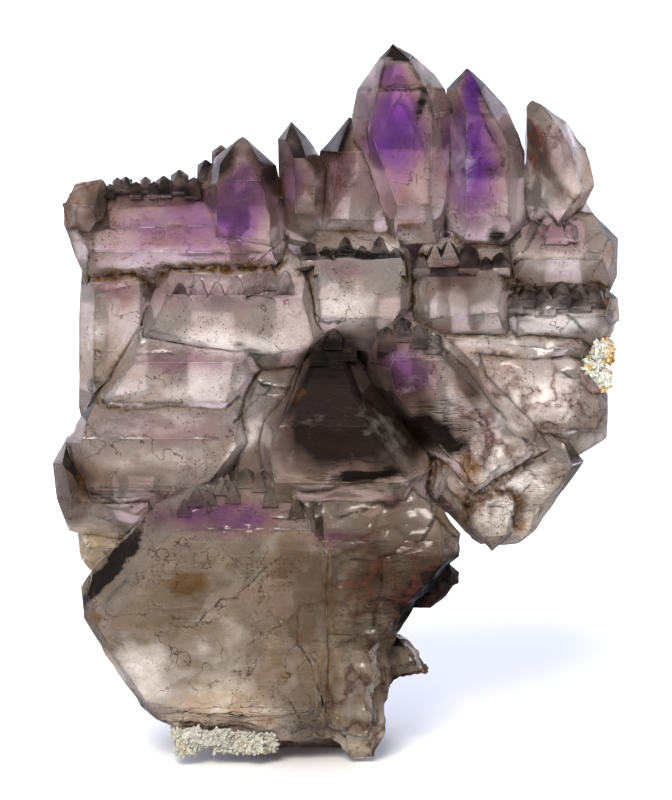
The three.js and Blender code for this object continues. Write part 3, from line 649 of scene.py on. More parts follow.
class Crystals:
    """The cluster's fine mesh, in mm, with what its relief and colours are worked out from."""

    def __init__(self, settings):
        coarse = facets_of("amethyst_cluster")
        self.normals, self.crystal = coarse[3], coarse[4]
        fine, broad = settings.front_spacing / MM, settings.back_spacing / MM

        def longest(middles):
            spacing = fine + (broad - fine) * smooth(middles[:, 1], BACK_STARTS - 4, BACK_STARTS + 2)
            cracked = (cracks(middles) < CRACK_REACH) & (middles[:, 1] < BACK_STARTS - 4)
            return np.where(cracked, spacing * CRACK_SPACING, spacing)

        self.points, self.triangles, self.facets = split_long_edges(*coarse[:3], longest)
        self.outward = self.corner_normals()
        self.own_facet = np.zeros(len(self.points), int)
        self.own_facet[self.triangles.ravel()] = np.repeat(self.facets, 3)
        self.measure_crystals()
        self.crack = cracks(self.points)
        creases = creases_of(self.points, self.triangles, self.facets, self.normals)
        (self.rims, rim_sides), (seams, seam_sides) = creases
        self.rim = distance_to(self.points, self.rims, FAR)
        self.broad_rim = distance_to(self.points, self.rims[~self.crest[rim_sides].any(1)], FAR)
        large_tip = self.is_tip & ~self.crest
        self.ridge = distance_to(self.points, self.rims[large_tip[rim_sides].all(1)], FAR)
        joints = ~self.small[self.crystal[seam_sides]].any(1) & ~self.crest[seam_sides].any(1)
        self.joint = distance_to(self.points, seams[joints], 2 * FAR)
        self.seam = distance_to(self.points, seams, 2 * FAR)

    def corner_normals(self):
        """Each point's normal, from the facets round it."""
        a, b, c = self.points[self.triangles].transpose(1, 0, 2)
        area = np.linalg.norm(np.cross(b - a, c - a), axis=1)
        total = np.zeros_like(self.points)
        for corner in range(3):
            np.add.at(total, self.triangles[:, corner], self.normals[self.facets] * area[:, None])
        return total / np.maximum(np.linalg.norm(total, axis=1), 1e-9)[:, None]

    def measure_crystals(self):
        """Which facets are tip faces and which of those are small crest facets, how deep each point lies
        under its own crystal's tip, and which crystals are small."""
        a, b, c = self.points[self.triangles].transpose(1, 0, 2)
        area = np.bincount(self.facets, np.linalg.norm(np.cross(b - a, c - a), axis=1) / 2, len(self.normals))
        self.is_tip = np.abs(self.normals[:, 2] - TIP_FACE) < TIP_SLOPE_OFF
        self.crest = self.is_tip & (area < CREST_AREA)
        owner = self.crystal[self.own_facet]
        self.growth = np.full(len(self.points), TIP_DEPTH)
        self.small = np.zeros(self.crystal.max() + 1, bool)
        unreached = -1e9
        reach = np.full(len(self.normals), unreached)
        np.maximum.at(reach, self.own_facet, np.einsum("ij,ij->i", self.normals[self.own_facet], self.points))
        for number in range(self.crystal.max() + 1):
            mine = np.nonzero(owner == number)[0]
            if not len(mine):
                continue
            own = self.points[mine]
            faces = np.nonzero((self.crystal == number) & self.is_tip & (reach > unreached))[0]
            # Tip faces that other points of the crystal rise above are those of a smaller one fused to it.
            tips = [
                (reach[i], self.normals[i]) for i in faces
                if (own @ self.normals[i]).max() < reach[i] + TIP_PASSED
            ]
            for limit, normal in tips or [(own[:, 2].max() * TIP_FACE, np.array((0, 0, TIP_FACE)))]:
                self.growth[mine] = np.minimum(self.growth[mine], limit - own @ normal)
            size = np.ptp(own, axis=0)
            self.small[number] = size[0] < SMALL_CRYSTAL[0] and size[2] < SMALL_CRYSTAL[1]
        self.growth = np.clip(self.growth, 0, TIP_DEPTH)
        self.tooth = self.small[owner] * smooth(self.growth, 1.9, 0.5)

    def relief(self, settings):
        """Moves the points: growth waves and lines, worn rims, nicks, broken places and opened seams."""
        points, outward = self.points, self.outward
        upright = 1 - np.abs(outward[:, 2])
        inner = smooth(self.rim, 0.1, 0.8)
        moved = lumps(points, *WAVE_NOISE) * settings.growth_waves / MM
        lines = lumps(points * (0.12, 0.12, 1), *LINE_NOISE)
        moved += lines * inner * smooth(upright, 0.6, 0.9) * settings.growth_lines / MM
        wear = smooth(lumps(points, *WEAR_NOISE), -0.1, 0.7)
        worn = settings.rim_wear / MM * (0.25 + wear)
        moved -= worn * np.clip(1 - self.rim / (0.25 + 0.6 * wear), 0, 1) ** 2
        moved -= settings.seam_depth / MM * np.clip(1 - self.seam / 0.5, 0, 1) ** 2
        for x, y, z, radius, depth in BROKEN.values():
            share = smooth(np.linalg.norm(points - (x, y, z), axis=1), radius * 1.2, radius * 0.6)
            steps = np.abs(lumps(points, *STEP_NOISE)) * 1.6 - 0.7
            moved += share * depth * (steps + 0.35 * lumps(points, *CRUMB_NOISE)) * inner
        for x, y, z, radius, depth in LUMPY.values():
            share = smooth(np.linalg.norm(points - (x, y, z), axis=1), radius * 1.25, radius * 0.5)
            shells = np.abs(lumps(points, *SHELL_NOISE)) + 0.4 * np.abs(lumps(points, *SMALL_SHELL_NOISE))
            moved -= share * depth * shells * smooth(self.seam, 0.1, 2.0)
        moved -= np.clip(1 - self.crack, 0, 1) * inner * settings.crack_depth / MM
        # The back is uneven where it grew against rock.
        back = smooth(outward[:, 1], 0.3, 0.8) * smooth(self.seam, 0.1, 2.0)
        moved -= back * settings.back_relief / MM * (0.3 + lumps(points, *BACK_NOISE))
        # Joints wander a little, where grown rims stay straight.
        wander = np.stack([lumps(points, 3.4, 81 + axis, 2) for axis in range(3)], 1)
        near = smooth(self.joint, 2.4, 0.2) * ~self.crest[self.own_facet] * settings.joint_wander / MM
        self.start = points
        self.points = points + outward * moved[:, None] + wander * (near * (1 - self.tooth))[:, None]
        self.nick(settings)
        self.points[:, 2] = np.maximum(self.points[:, 2], 0)

    def nick(self, settings):
        """Small shell-shaped nicks along the rims."""
        numbers = np.random.default_rng(NICK_SEED)
        middles = self.rims.mean(1)
        chosen = middles[numbers.choice(len(middles), settings.nicks, replace=False)]
        radii = numbers.uniform(*NICK_RADII, settings.nicks) ** NICK_CURVE
        tree = kdtree.KDTree(len(self.points))
        for i, point in enumerate(self.points):
            tree.insert(point, i)
        tree.balance()
        for centre, radius in zip(chosen, radii):
            for _, i, away in tree.find_range(centre, radius):
                self.points[i] -= self.outward[i] * NICK_SLOPE * (radius - away)


def mesh_piece(name, points, triangles, material):
    """A new object from points in mm, at the origin, with its sharp edges marked."""
    mesh = bpy.data.meshes.new(name)
    mesh.from_pydata((points * MM).tolist(), [], triangles.tolist())
    mesh.validate()
    mesh.shade_smooth()
    mesh.set_sharp_from_angle(angle=SHARP_ANGLE)
    mesh.materials.append(material)
    piece = bpy.data.objects.new(name, mesh)
    bpy.context.scene.collection.objects.link(piece)
    return piece


def keep_values(piece, domain="POINT", **fields):
    """Stores arrays on the mesh for its material to read."""
    for name, values in fields.items():
        attribute = piece.data.attributes.new(name, "FLOAT", domain)
        attribute.data.foreach_set("value", np.asarray(values, np.float32))


def add(tree, kind, inputs=(), output=0, **settings):
    """Adds a node, sets its properties, fills or links its inputs and gives one of its outputs.

    An input goes by its name, or by its place among those that the settings leave in use."""
    node = tree.nodes.new(kind)
    for name, value in settings.items():
        setattr(node, name, value)
    in_use = [socket for socket in node.inputs if socket.enabled]
    for key, value in inputs.items() if isinstance(inputs, dict) else enumerate(inputs):
        socket = node.inputs[key] if isinstance(key, str) else in_use[key]
        if isinstance(value, bpy.types.NodeSocket):
            tree.links.new(value, socket)
        elif socket.type == "RGBA":
            socket.default_value = (*value, 1)
        else:
            socket.default_value = value
    return node.outputs[output] if node.outputs else node


def new_material(name):
    """A new material with an empty tree, and the function that adds nodes to it."""
    material = bpy.data.materials.new(name)
    material.use_nodes = True
    material.node_tree.nodes.clear()
    return material, partial(add, material.node_tree)


def patterns(node, sizes):
    """Noise fields for a material, from lump size in mm, detail and squeeze along each axis."""
    place = node("ShaderNodeTexCoord", output="Object")
    fields = {}
    for name, (size, detail, squeeze) in sizes.items():
        scale = [amount / MM for amount in squeeze]
        mm = node("ShaderNodeMapping", {"Vector": place, "Location": PATTERN_SHIFT, "Scale": scale})
        fields[name] = node(NOISE, {"Vector": mm, "Scale": 1 / size, "Detail": detail})
    return fields


def amethyst_material(look):
    """Natural smoky amethyst: glassy quartz, clear at its rims and cloudy with veils inside, violet under
    its tips, brown to black where it is smoky, with iron rust along the joints."""
    material, node = new_material("natural_smoky_amethyst")
    even, flat = (1, 1, 1), (0.08, 0.08, 1)
    noise = patterns(node, {
        "cloud": (7.0, 3, even), "haze": (2.4, 5, even), "blotch": (3.6, 4, even),
        "wisp": (2.8, 4, (1, 1, 1.5)), "growth": (0.45, 3, flat), "glint": (0.8, 2, even),
        "crumb": (0.9, 5, even), "run": (9.0, 2, even), "grit": (0.3, 3, even),
        "gather": (5.2, 3, even), "wander": (6.3, 5, even), "scratch": (0.5, 2, (0.07, 1, 1)),
    })
    kept = {name: node("ShaderNodeAttribute", output="Fac", attribute_name=name) for name in KEPT}
    # Noise is added to each patch before it is cut off low and high, which makes its edges ragged.
    noise["streaky"] = node(MIX, (0.6, noise["haze"], noise["scratch"]), data_type="FLOAT")
    edged = {}
    for name, field, ragged, low, high in (
        ("violet", "blotch", 0.5, 0.04, 0.95), ("smoke", "cloud", 0.8, 0.14, 0.92),
        ("milk", "wisp", 0.7, 0.08, 1.0), ("dark", "streaky", 1.6, 0.24, 0.8),
        ("iron", "blotch", 2.6, 0.45, 1.1),
    ):
        added = node(MATH, (noise[field], ragged, kept[name]), operation="MULTIPLY_ADD")
        edged[name] = node(RANGE, (added, low + ragged / 2, high + ragged / 2))
    violet, smoke, milk, dark, iron = edged.values()
    # Distance of each field from its middle value: lines run where it is nought.
    line = {
        name: node(MATH, (node(MATH, (noise[name], 0.5), operation="SUBTRACT"),), operation="ABSOLUTE")
        for name in ("haze", "wander", "scratch")
    }

    # Brown crust lies along the joints and in the stained patches, and the joint itself is black.
    thin_crust = node(MATH, (kept["crust"], 0.35), operation="MULTIPLY")
    rust = node(RANGE, (noise["crumb"], 0.34, 0.54, thin_crust, kept["crust"]))
    open_stretch = node(RANGE, (noise["haze"], 0.35, 0.6, 0.3, 0.95))
    open_run = node(RANGE, (noise["run"], 0.4, 0.58, 0.2, 1))
    open_joint = node(MATH, (open_stretch, open_run), operation="MULTIPLY")
    joint = node(RANGE, (kept["joint"], 0.03, 0.26, open_joint, 0))

    # Black specks gather in clusters, and thin cracks and scratches wander through the cloudy parts.
    gathered = node(RANGE, (noise["gather"], 0.5, 0.6, 0.0, 0.85))
    place = node("ShaderNodeTexCoord", output="Object")
    mm = node("ShaderNodeMapping", {"Vector": place, "Scale": [1 / MM] * 3})
    speck = node(RANGE, (node("ShaderNodeTexVoronoi", {"Vector": mm, "Scale": 1.7}), 0.13, 0.24, gathered, 0))
    unsmoked = node(RANGE, (smoke, 0, 0.6, 1, 0.1))
    blotched = node(RANGE, (noise["blotch"], 0.42, 0.55, 0, 0.75))
    crack_run = node(MATH, (blotched, unsmoked), operation="MULTIPLY")
    vein = node(RANGE, (line["wander"], 0.001, 0.008, crack_run, 0))
    crack = node(RANGE, (kept["crack"], 0.15, 0.8, node(RANGE, (noise["haze"], 0.38, 0.58, 0.2, 0.85)), 0))
    rusted = node(RANGE, (noise["gather"], 0.45, 0.6))
    crack_colour = node(MIX, (rusted, look.joint_black, look.rust), 2, data_type="RGBA")
    # Painted shade: a dark line along the ridges of the large tip faces, with hazy edges.
    hazy_ridge_shade = node(MATH, (noise["haze"], 0.6, kept["outline"]), operation="MULTIPLY_ADD")
    outline = node(RANGE, (hazy_ridge_shade, 0.5, 1.05, 0, 0.92))
    gathered_cracks = node(RANGE, (noise["gather"], 0.45, 0.6, 0, 0.45))
    fine_run = node(MATH, (gathered_cracks, unsmoked), operation="MULTIPLY")
    fine_crack = node(RANGE, (line["haze"], 0.002, 0.012, fine_run, 0))
    gathered_scratches = node(RANGE, (noise["gather"], 0.52, 0.68, 0, 0.22))
    scratched = node(MATH, (gathered_scratches, unsmoked), operation="MULTIPLY")
    scratch = node(RANGE, (line["scratch"], 0.002, 0.012, scratched, 0))
    swirl = node(RANGE, (line["wander"], 0.0, 0.055, kept["swirl"], 0))
    blackened = node(MATH, (dark, 0.97), operation="MULTIPLY")
    worn = node(RANGE, (noise["blotch"], 0.46, 0.6, 0, node(MATH, (unsmoked, 0.55), operation="MULTIPLY")))
    wrinkle = node(RANGE, (line["scratch"], 0.004, 0.035, kept["wrinkles"], 0))
    half_tooth = node(MATH, (kept["tooth"], 0.5), operation="MULTIPLY")
    tooth = node(MATH, (half_tooth, kept["crest"]), operation="MAXIMUM")
    tooth = node(RANGE, (noise["haze"], 0.3, 0.62, node(MATH, (tooth, 0.45), operation="MULTIPLY"), tooth))

    # Painted shade: facets turned aside from the front are shaded in colour towards a grey, by a random
    # amount for each facet.
    aside = node(MATH, (kept["bevel"], kept["facet_tone"]), operation="MULTIPLY")
    ochre_grains = node(RANGE, (noise["glint"], 0.45, 0.75, 0, 0.6))
    crust_brown = node(MIX, (ochre_grains, look.rust, look.ochre), 2, data_type="RGBA")
    # Painted shade: a dark line just inside the rims, broken up by noise.
    rim_shade = node(RANGE, (noise["haze"], 0.4, 0.6, 0, 0.4))
    layers = (
        (node(RANGE, (noise["cloud"], 0.35, 0.68)), look.cloudy_quartz),
        (node(MATH, (kept["tan"], 0.8), operation="MULTIPLY"), look.tan_quartz),
        (node(RANGE, (noise["haze"], 0.5, 0.72, 0, 0.3)), look.milky_veil),
        (node(RANGE, (noise["growth"], 0.5, 0.75, 0, 0.16)), look.milky_veil),
        (node(RANGE, (violet, 0.0, 0.55, 0, 0.85)), look.lilac),
        (node(RANGE, (violet, 0.4, 1.0, 0, 0.95)), look.violet),
        (node(RANGE, (smoke, 0.0, 0.6, 0, 0.75)), look.smoky_brown),
        (node(RANGE, (smoke, 0.4, 0.9, 0, 0.92)), look.smoky_black),
        (milk, look.milky_veil),
        # painted shade on the facets turned aside
        (node(MATH, (aside, 0.35), operation="MULTIPLY"), look.painted_facet_shade),
        (swirl, look.swirl_brown),
        # painted shade along the tip ridges
        (outline, look.smoky_black),
        (node(RANGE, (noise["grit"], 0.42, 0.62, 0, 0.1)), look.joint_black),
        (node(MATH, (tooth, 0.96), operation="MULTIPLY"), look.crest_grey),
        (node(MATH, (iron, 0.75), operation="MULTIPLY"), look.ochre),
        (rust, crust_brown),
        (node(MATH, (joint, blackened), operation="MAXIMUM"), look.joint_black),
        # painted shade just inside the rims, then a pale line on the rims that is partly wear and partly a
        # painted highlight
        (node(RANGE, (kept["rim"], 0.12, 0.4, rim_shade, 0)), look.joint_black),
        (node(RANGE, (kept["rim"], 0.02, 0.1, worn, 0)), look.rim_wear_and_highlight),
        (wrinkle, look.joint_black),
        (speck, look.joint_black),
        (vein, look.rust),
        (crack, crack_colour),
        (fine_crack, look.smoky_brown),
        (scratch, look.milky_veil),
    )
    colour = node(MIX, (0.0, look.clear_quartz, look.clear_quartz), 2, data_type="RGBA")
    for share, coat in layers:
        colour = node(MIX, (share, colour, coat), 2, data_type="RGBA")

    # Veils and crusts scatter the light that clear quartz lets through.
    cloudy = node(RANGE, (noise["cloud"], 0.35, 0.65, 0, 0.3))
    rough = node(MATH, (kept["broken"], node(MATH, (rust, joint), operation="MAXIMUM")), operation="MAXIMUM")
    blocked = node(MATH, (node(MATH, (milk, rough), operation="MAXIMUM"), cloudy), operation="MAXIMUM")
    coloured = node(MATH, (node(RANGE, (smoke, 0.2, 0.8)), blackened), operation="MAXIMUM")
    blocked = node(MATH, (blocked, coloured), operation="MAXIMUM")
    clear = node(RANGE, (blocked, 0, 1, 0.72, 0.04))
    grain = node(RANGE, (noise["grit"], 0.3, 0.7, 0, 0.06))
    roughness = node(MATH, (node(RANGE, (rough, 0, 1, 0.14, 0.55)), grain), operation="ADD")
    pitted = node(MATH, (noise["crumb"], rough), operation="MULTIPLY")
    lines = node("ShaderNodeBump", {"Height": noise["growth"], "Strength": 0.2, "Distance": 0.06 * MM})
    bump = node("ShaderNodeBump", {"Height": pitted, "Strength": 0.5, "Distance": 0.25 * MM, "Normal": lines})
    surface = node(PRINCIPLED, {
        "Base Color": colour, "Roughness": roughness, "IOR": QUARTZ_IOR, "Normal": bump,
        "Transmission Weight": clear,
    })
    inside = node("ShaderNodeVolumeAbsorption", {"Color": linear(QUARTZ_TINT), "Density": TINT_DENSITY})
    node("ShaderNodeOutputMaterial", {"Surface": surface, "Volume": inside})
    return material


def druse_material(name, look, stained, greyed):
    """White quartz druse: a matt sugar-like crust, stained yellow where iron has washed over it."""
    material, node = new_material(name)
    noise = patterns(node, {"stain": (2.6, 4, (1, 1, 1)), "grain": (0.5, 3, (1, 1, 1))})
    dull = node(RANGE, (noise["grain"], 0.35, 0.65, greyed, 1))
    colour = node(MIX, (dull, look.grain_white, look.grain_grey), 2, data_type="RGBA")
    stain = node(RANGE, (noise["stain"], 0.5, 0.62, 0, stained))
    colour = node(MIX, (stain, colour, look.iron_yellow), 2, data_type="RGBA")
    surface = node(PRINCIPLED, {
        "Base Color": colour, "Roughness": 0.42, "IOR": QUARTZ_IOR,
        "Subsurface Weight": 0.2, "Subsurface Radius": (MM, MM, MM),
    })
    node("ShaderNodeOutputMaterial", {"Surface": surface})
    return material


def floor_material(look):
    """Matt white paper sweep: plain and pale, so the light on it clips to white."""
    material, node = new_material("matt_white_paper")
    surface = node(PRINCIPLED, {"Base Color": look.paper, "Roughness": 0.9})
    node("ShaderNodeOutputMaterial", {"Surface": surface})
    return material


def grow_crystals(look):
    """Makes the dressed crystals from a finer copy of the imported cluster."""
    cluster = Crystals(look)
    cluster.relief(look)
    piece = mesh_piece("amethyst_crystals", cluster.points, cluster.triangles, amethyst_material(look))
    start, outward = cluster.start, cluster.outward
    front = smooth(-outward[:, 1], -0.35, 0.1)
    tables = (
        (VIOLET, 0.15), (SMOKE, 0.4), (TAN, 0.4), (IRON, 0.3), (MILK, 0.1), (DARK, 0.4),
        (SWIRL, 0.7), (CRUST, 0.8), (PAINTED_RIDGE_SHADE, 0.7), (WRINKLES, 0.4), (HEALED, 0.6),
    )
    # The first three, violet, smoke and tan, also lie on the back.
    masks = [
        patches(start, rows, seed, core) * np.maximum(front, BACK_SHARE * (seed < PATCH_SEED + 3))
        for seed, (rows, core) in enumerate(tables, PATCH_SEED)
    ]
    violet, smoke, tan, iron, milk, dark, swirl, crust, tips, wrinkles, healed = masks
    low = smooth(start[:, 2], 45, 10) * (1 - front)
    broken = np.max([
        smooth(np.linalg.norm(start - row[:3], axis=1), row[3] * 1.2, row[3] * 0.6) for row in BROKEN.values()
    ], axis=0)
    crust = np.maximum(crust, 0.4 * (1 - front))
    width = (0.26 + 1.4 * crust) * (1 + 0.7 * lumps(start, *JOINT_NOISE))
    keep_values(
        piece,
        violet=np.maximum(violet, smooth(cluster.growth, 6.5, 0.8) * (1 - front) * look.back_violet),
        smoke=np.maximum(smoke, low * 0.6), tan=np.maximum(tan, low), iron=iron, milk=milk,
        # painted shade along the ridges of the large tip faces, where its patches lie
        dark=dark, outline=tips * smooth(cluster.ridge, 1.4, 0.1), crack=cluster.crack + FAR * (front < 0.5),
        swirl=swirl, wrinkles=wrinkles, broken=broken, tooth=cluster.tooth, joint=cluster.joint + healed,
        rim=cluster.broad_rim,
        crust=smooth(cluster.joint, width, width * 0.25) * (0.45 + 0.55 * crust),
    )
    tones = np.random.default_rng(TONE_SEED).uniform(0, 1, len(cluster.normals))
    # How far each facet is turned aside from the front, from which the material paints shade on it.
    turned = smooth(np.abs(cluster.normals[:, 1]), 0.92, 0.6)
    not_pale = 1 - patches(start, PALE_CRESTS, PALE_CREST_SEED, PALE_CREST_CORE)
    crest = cluster.crest[cluster.facets] * not_pale[cluster.triangles[:, 0]]
    keep_values(piece, "FACE", facet_tone=tones[cluster.facets], bevel=turned[cluster.facets], crest=crest)
    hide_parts("amethyst_cluster")
    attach(piece, "root")


def grain_tree(material):
    """Covers a mesh with small pointed quartz grains and joins them to it."""
    tree = bpy.data.node_groups.new("druse_grains", "GeometryNodeTree")
    interface = tree.interface
    interface.new_socket("Geometry", in_out="INPUT", socket_type="NodeSocketGeometry")
    sizes = {"Grain Size": 0.6 * MM, "Grains per Square Metre": 2.5e6}
    for name, default in sizes.items():
        interface.new_socket(name, in_out="INPUT", socket_type="NodeSocketFloat").default_value = default
    interface.new_socket("Seed", in_out="INPUT", socket_type="NodeSocketInt").default_value = 3
    interface.new_socket("Geometry", in_out="OUTPUT", socket_type="NodeSocketGeometry")
    node = partial(add, tree)
    group = tree.nodes.new("NodeGroupInput").outputs
    crust, size, seed = group["Geometry"], group["Grain Size"], group["Seed"]
    spread = tree.nodes.new("GeometryNodeDistributePointsOnFaces")
    tree.links.new(crust, spread.inputs["Mesh"])
    tree.links.new(group["Grains per Square Metre"], spread.inputs["Density"])
    tree.links.new(seed, spread.inputs["Seed"])
    half = node("ShaderNodeMath", (size, 0.5), operation="MULTIPLY")
    cone, hexagon = "GeometryNodeMeshCone", {"Vertices": 6, "Radius Bottom": half}
    prism = node(cone, {**hexagon, "Radius Top": half, "Depth": size}, "Mesh", fill_type="NGON")
    point = node(cone, {**hexagon, "Radius Top": 0.0, "Depth": half}, "Mesh", fill_type="NONE")
    up = node("ShaderNodeCombineXYZ", {"Z": size})
    raised = node("GeometryNodeTransform", {"Geometry": point, "Translation": up})
    grain = node("GeometryNodeJoinGeometry")
    join = grain.node
    tree.links.new(prism, join.inputs[0])
    tree.links.new(raised, join.inputs[0])
    # Each grain leans up to 0.7 radians both ways and turns freely on its own axis.
    leans = {"Min": (-0.7, -0.7, 0.0), "Max": (0.7, 0.7, 6.3), "Seed": seed}
    lean = node("FunctionNodeRandomValue", leans, "Value", data_type="FLOAT_VECTOR")
    turns = {"Rotation": spread.outputs["Rotation"], "Rotate By": lean}
    turned = node("FunctionNodeRotateRotation", turns, rotation_space="LOCAL")
    scale = node("FunctionNodeRandomValue", {"Min": 0.45, "Max": 1.15, "Seed": seed}, 1, data_type="FLOAT")
    placed = node("GeometryNodeInstanceOnPoints", {
        "Points": spread.outputs["Points"], "Instance": grain, "Rotation": turned, "Scale": scale,
    })
    all_grains = node("GeometryNodeJoinGeometry")
    tree.links.new(crust, all_grains.node.inputs[0])
    tree.links.new(placed, all_grains.node.inputs[0])
    real = node("GeometryNodeRealizeInstances", {"Geometry": all_grains})
    painted = node("GeometryNodeSetMaterial", {"Geometry": real, "Material": material})
    node("NodeGroupOutput", {"Geometry": painted})
    return tree


def grow_druse(name, node, look, material, seed):
    """One crust of druse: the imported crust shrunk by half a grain, with grains grown on it."""
    mesh = bmesh.new()
    mesh.from_mesh(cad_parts[node].data)
    bmesh.ops.remove_doubles(mesh, verts=mesh.verts, dist=MERGE * MM)
    mesh.normal_update()
    for vertex in mesh.verts:
        vertex.co -= vertex.normal * look.grain_size * 0.75
    crust = bpy.data.meshes.new(name + "_crust")
    mesh.to_mesh(crust)
    mesh.free()
    holder = bpy.data.objects.new(name + "_crust", crust)
    bpy.context.scene.collection.objects.link(holder)
    grown = holder.modifiers.new("grains", "NODES")
    grown.node_group = grain_tree(material)
    values = {"Grain Size": look.grain_size, "Grains per Square Metre": look.grain_count, "Seed": seed}
    for item in grown.node_group.interface.items_tree:
        if item.in_out == "INPUT" and item.name in values:
            grown[item.identifier] = values[item.name]
    shown = bpy.data.meshes.new_from_object(holder.evaluated_get(bpy.context.evaluated_depsgraph_get()))
    bpy.data.objects.remove(holder)
    piece = bpy.data.objects.new(name, shown)
    bpy.context.scene.collection.objects.link(piece)
    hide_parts(node)
    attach(piece, "root")


def set_studio(studio):
    """A white sweep, a broad sun in front on the left, a skylight above and the camera."""
    scene = bpy.context.scene
    bpy.ops.mesh.primitive_circle_add(vertices=96, radius=studio.floor_radius, fill_type="NGON")
    floor = bpy.context.object
    floor.name = "paper_floor"
    floor.data.materials.append(floor_material(studio))
    # The white floor would lie as a veil on every upright face.
    floor.visible_glossy = False

    for name, place, size, power, colour in (
        ("broad_sun_in_front", (-0.22, -1.0, 0.75), math.radians(24), studio.main_light, studio.main_colour),
        ("skylight_above", (-0.25, -0.3, 1.0), math.radians(150), studio.fill_light, studio.fill_colour),
    ):
        light = bpy.data.lights.new(name, "SUN")
        light.energy, light.color, light.angle = power, colour, size
        lamp = bpy.data.objects.new(name, light)
        lamp.location = place
        lamp.rotation_euler = (-Vector(place)).to_track_quat("-Z", "Y").to_euler()
        # Only the surroundings show in the glassy faces.
        lamp.visible_glossy = False
        scene.collection.objects.link(lamp)

    world = bpy.data.worlds.new("studio_white")
    scene.world = world
    world.use_nodes = True
    world.node_tree.nodes.clear()
    node = partial(add, world.node_tree)
    direction = node("ShaderNodeTexCoord", output="Generated")
    behind = node("ShaderNodeSeparateXYZ", {"Vector": direction}, "Y")
    above = node(RANGE, (node("ShaderNodeSeparateXYZ", {"Vector": direction}, "Z"), -0.35, 0.0, 0.15, 1))
    strength = node(RANGE, (behind, 0.25, 0.85, studio.front_air, studio.back_air))
    strength = node(MATH, (strength, above), operation="MULTIPLY")
    light = node("ShaderNodeBackground", {"Color": studio.air_colour, "Strength": strength})
    node("ShaderNodeOutputWorld", {"Surface": light})
    # The photo has more contrast than the light alone gives.
    scene.view_settings.view_transform = "Standard"
    scene.view_settings.gamma = studio.softness
    scene.view_settings.exposure = studio.exposure
    scene.cycles.use_denoising = True
    scene.cycles.max_bounces = 9
    scene.cycles.transmission_bounces = 6

    camera = bpy.data.cameras.new("photo_camera")
    camera.lens, camera.sensor_width = studio.lens, 36
    camera.clip_start, camera.clip_end = 0.02, 50
    holder = bpy.data.objects.new("photo_camera", camera)
    aim = Vector((0, 0, studio.aim_height))
    raised = math.radians(CAMERA_ELEVATION)
    holder.location = aim + studio.camera_distance * Vector((0, -math.cos(raised), math.sin(raised)))
    holder.rotation_euler = (aim - holder.location).to_track_quat("-Z", "Y").to_euler()
    scene.collection.objects.link(holder)
    scene.camera = holder


def length(name, description, default):
    return FloatProperty(
        name=name, description=description, default=default, min=0, precision=5, unit="LENGTH"
    )


def colour(name, description, default):
    return FloatVectorProperty(
        name=name, description=description, default=linear(default), size=3, min=0, max=1, subtype="COLOR"
    )


def amount(name, description, default):
    return FloatProperty(name=name, description=description, default=default, min=0)


class CrystalLook(bpy.types.PropertyGroup):
    """Sizes and colours of the crystals."""

    front_spacing: length("Front Spacing", "Longest mesh edge on the front", 0.95 * MM)
    back_spacing: length("Back Spacing", "Longest mesh edge on the back", 1.7 * MM)
    growth_waves: length("Growth Waves", "Height of the broad waves on the faces", 0.05 * MM)
    growth_lines: length("Growth Lines", "Height of the level lines across the prism faces", 0.02 * MM)
    back_relief: length("Back Relief", "Height of the uneven faces at the back", 0.5 * MM)
    rim_wear: length("Rim Wear", "Depth of the wear along the rims", 0.06 * MM)
    seam_depth: length("Seam Depth", "Depth of the groove where crystals meet", 0.08 * MM)
    crack_depth: length("Crack Depth", "Depth of the cracks on the front", 0.12 * MM)
    joint_wander: length("Joint Wander", "How far the joints wander from straight", 0.4 * MM)
    nicks: IntProperty(name="Nicks", description="Number of nicks in the rims", default=200, min=0)
    back_violet: amount("Back Violet", "Strength of the violet under the tips at the back", 0.3)
    clear_quartz: colour("Clear Quartz", "Palest quartz of the faces", "#dad2cb")
    cloudy_quartz: colour("Cloudy Quartz", "Darker lumps in the quartz", "#b39c8e")
    tan_quartz: colour("Tan Quartz", "Quartz stained by clay near the foot", "#93805e")
    milky_veil: colour("Milky Veil", "White veils", "#e2ddd8")
    lilac: colour("Lilac", "Weak amethyst colour", "#9f6e80")
    violet: colour("Violet", "Strong amethyst colour", "#7422ac")
    smoky_brown: colour("Smoky Brown", "Weak smoky colour", "#584233")
    smoky_black: colour("Smoky Black", "Strong smoky colour", "#180e0a")
    # Painted shade for the facets turned aside from the front.
    painted_facet_shade: colour("Shaded Facet", "Facets turned aside", "#7c6e68")
    crest_grey: colour("Crest Grey", "Small crest crystals", "#1f1813")
    rust: colour("Rust", "Iron crust in the joints", "#4a3319")
    ochre: colour("Ochre", "Lighter iron stain", "#8f6626")
    swirl_brown: colour("Swirl Brown", "Reddish brown veils that swirl through broken quartz", "#6a4338")
    joint_black: colour("Joint Black", "Deepest part of a joint", "#120c08")
    # Partly real wear and partly a painted highlight along the rims.
    rim_wear_and_highlight: colour("Worn Rim", "Pale line along worn rims", "#ded6d0")


class DruseLook(bpy.types.PropertyGroup):
    """Sizes and colours of the white druse."""

    grain_size: length("Grain Size", "Width of a grain", 0.42 * MM)
    grain_count: amount("Grain Count", "Grains in a square metre", 4.5e6)
    grain_white: colour("Grain White", "Colour of clean grains", "#efeee4")
    grain_grey: colour("Grain Grey", "Colour of duller grains", "#aeaea4")
    edge_stain: amount("Edge Stain", "How strongly iron stains the druse at the right edge", 0.85)
    foot_grey: amount("Foot Grey", "Least share of grey in the druse under the foot", 0.6)
    foot_stain: amount("Foot Stain", "How strongly iron stains the druse under the foot", 0.12)
    iron_yellow: colour("Iron Yellow", "Iron stain on the grains", "#c79f45")


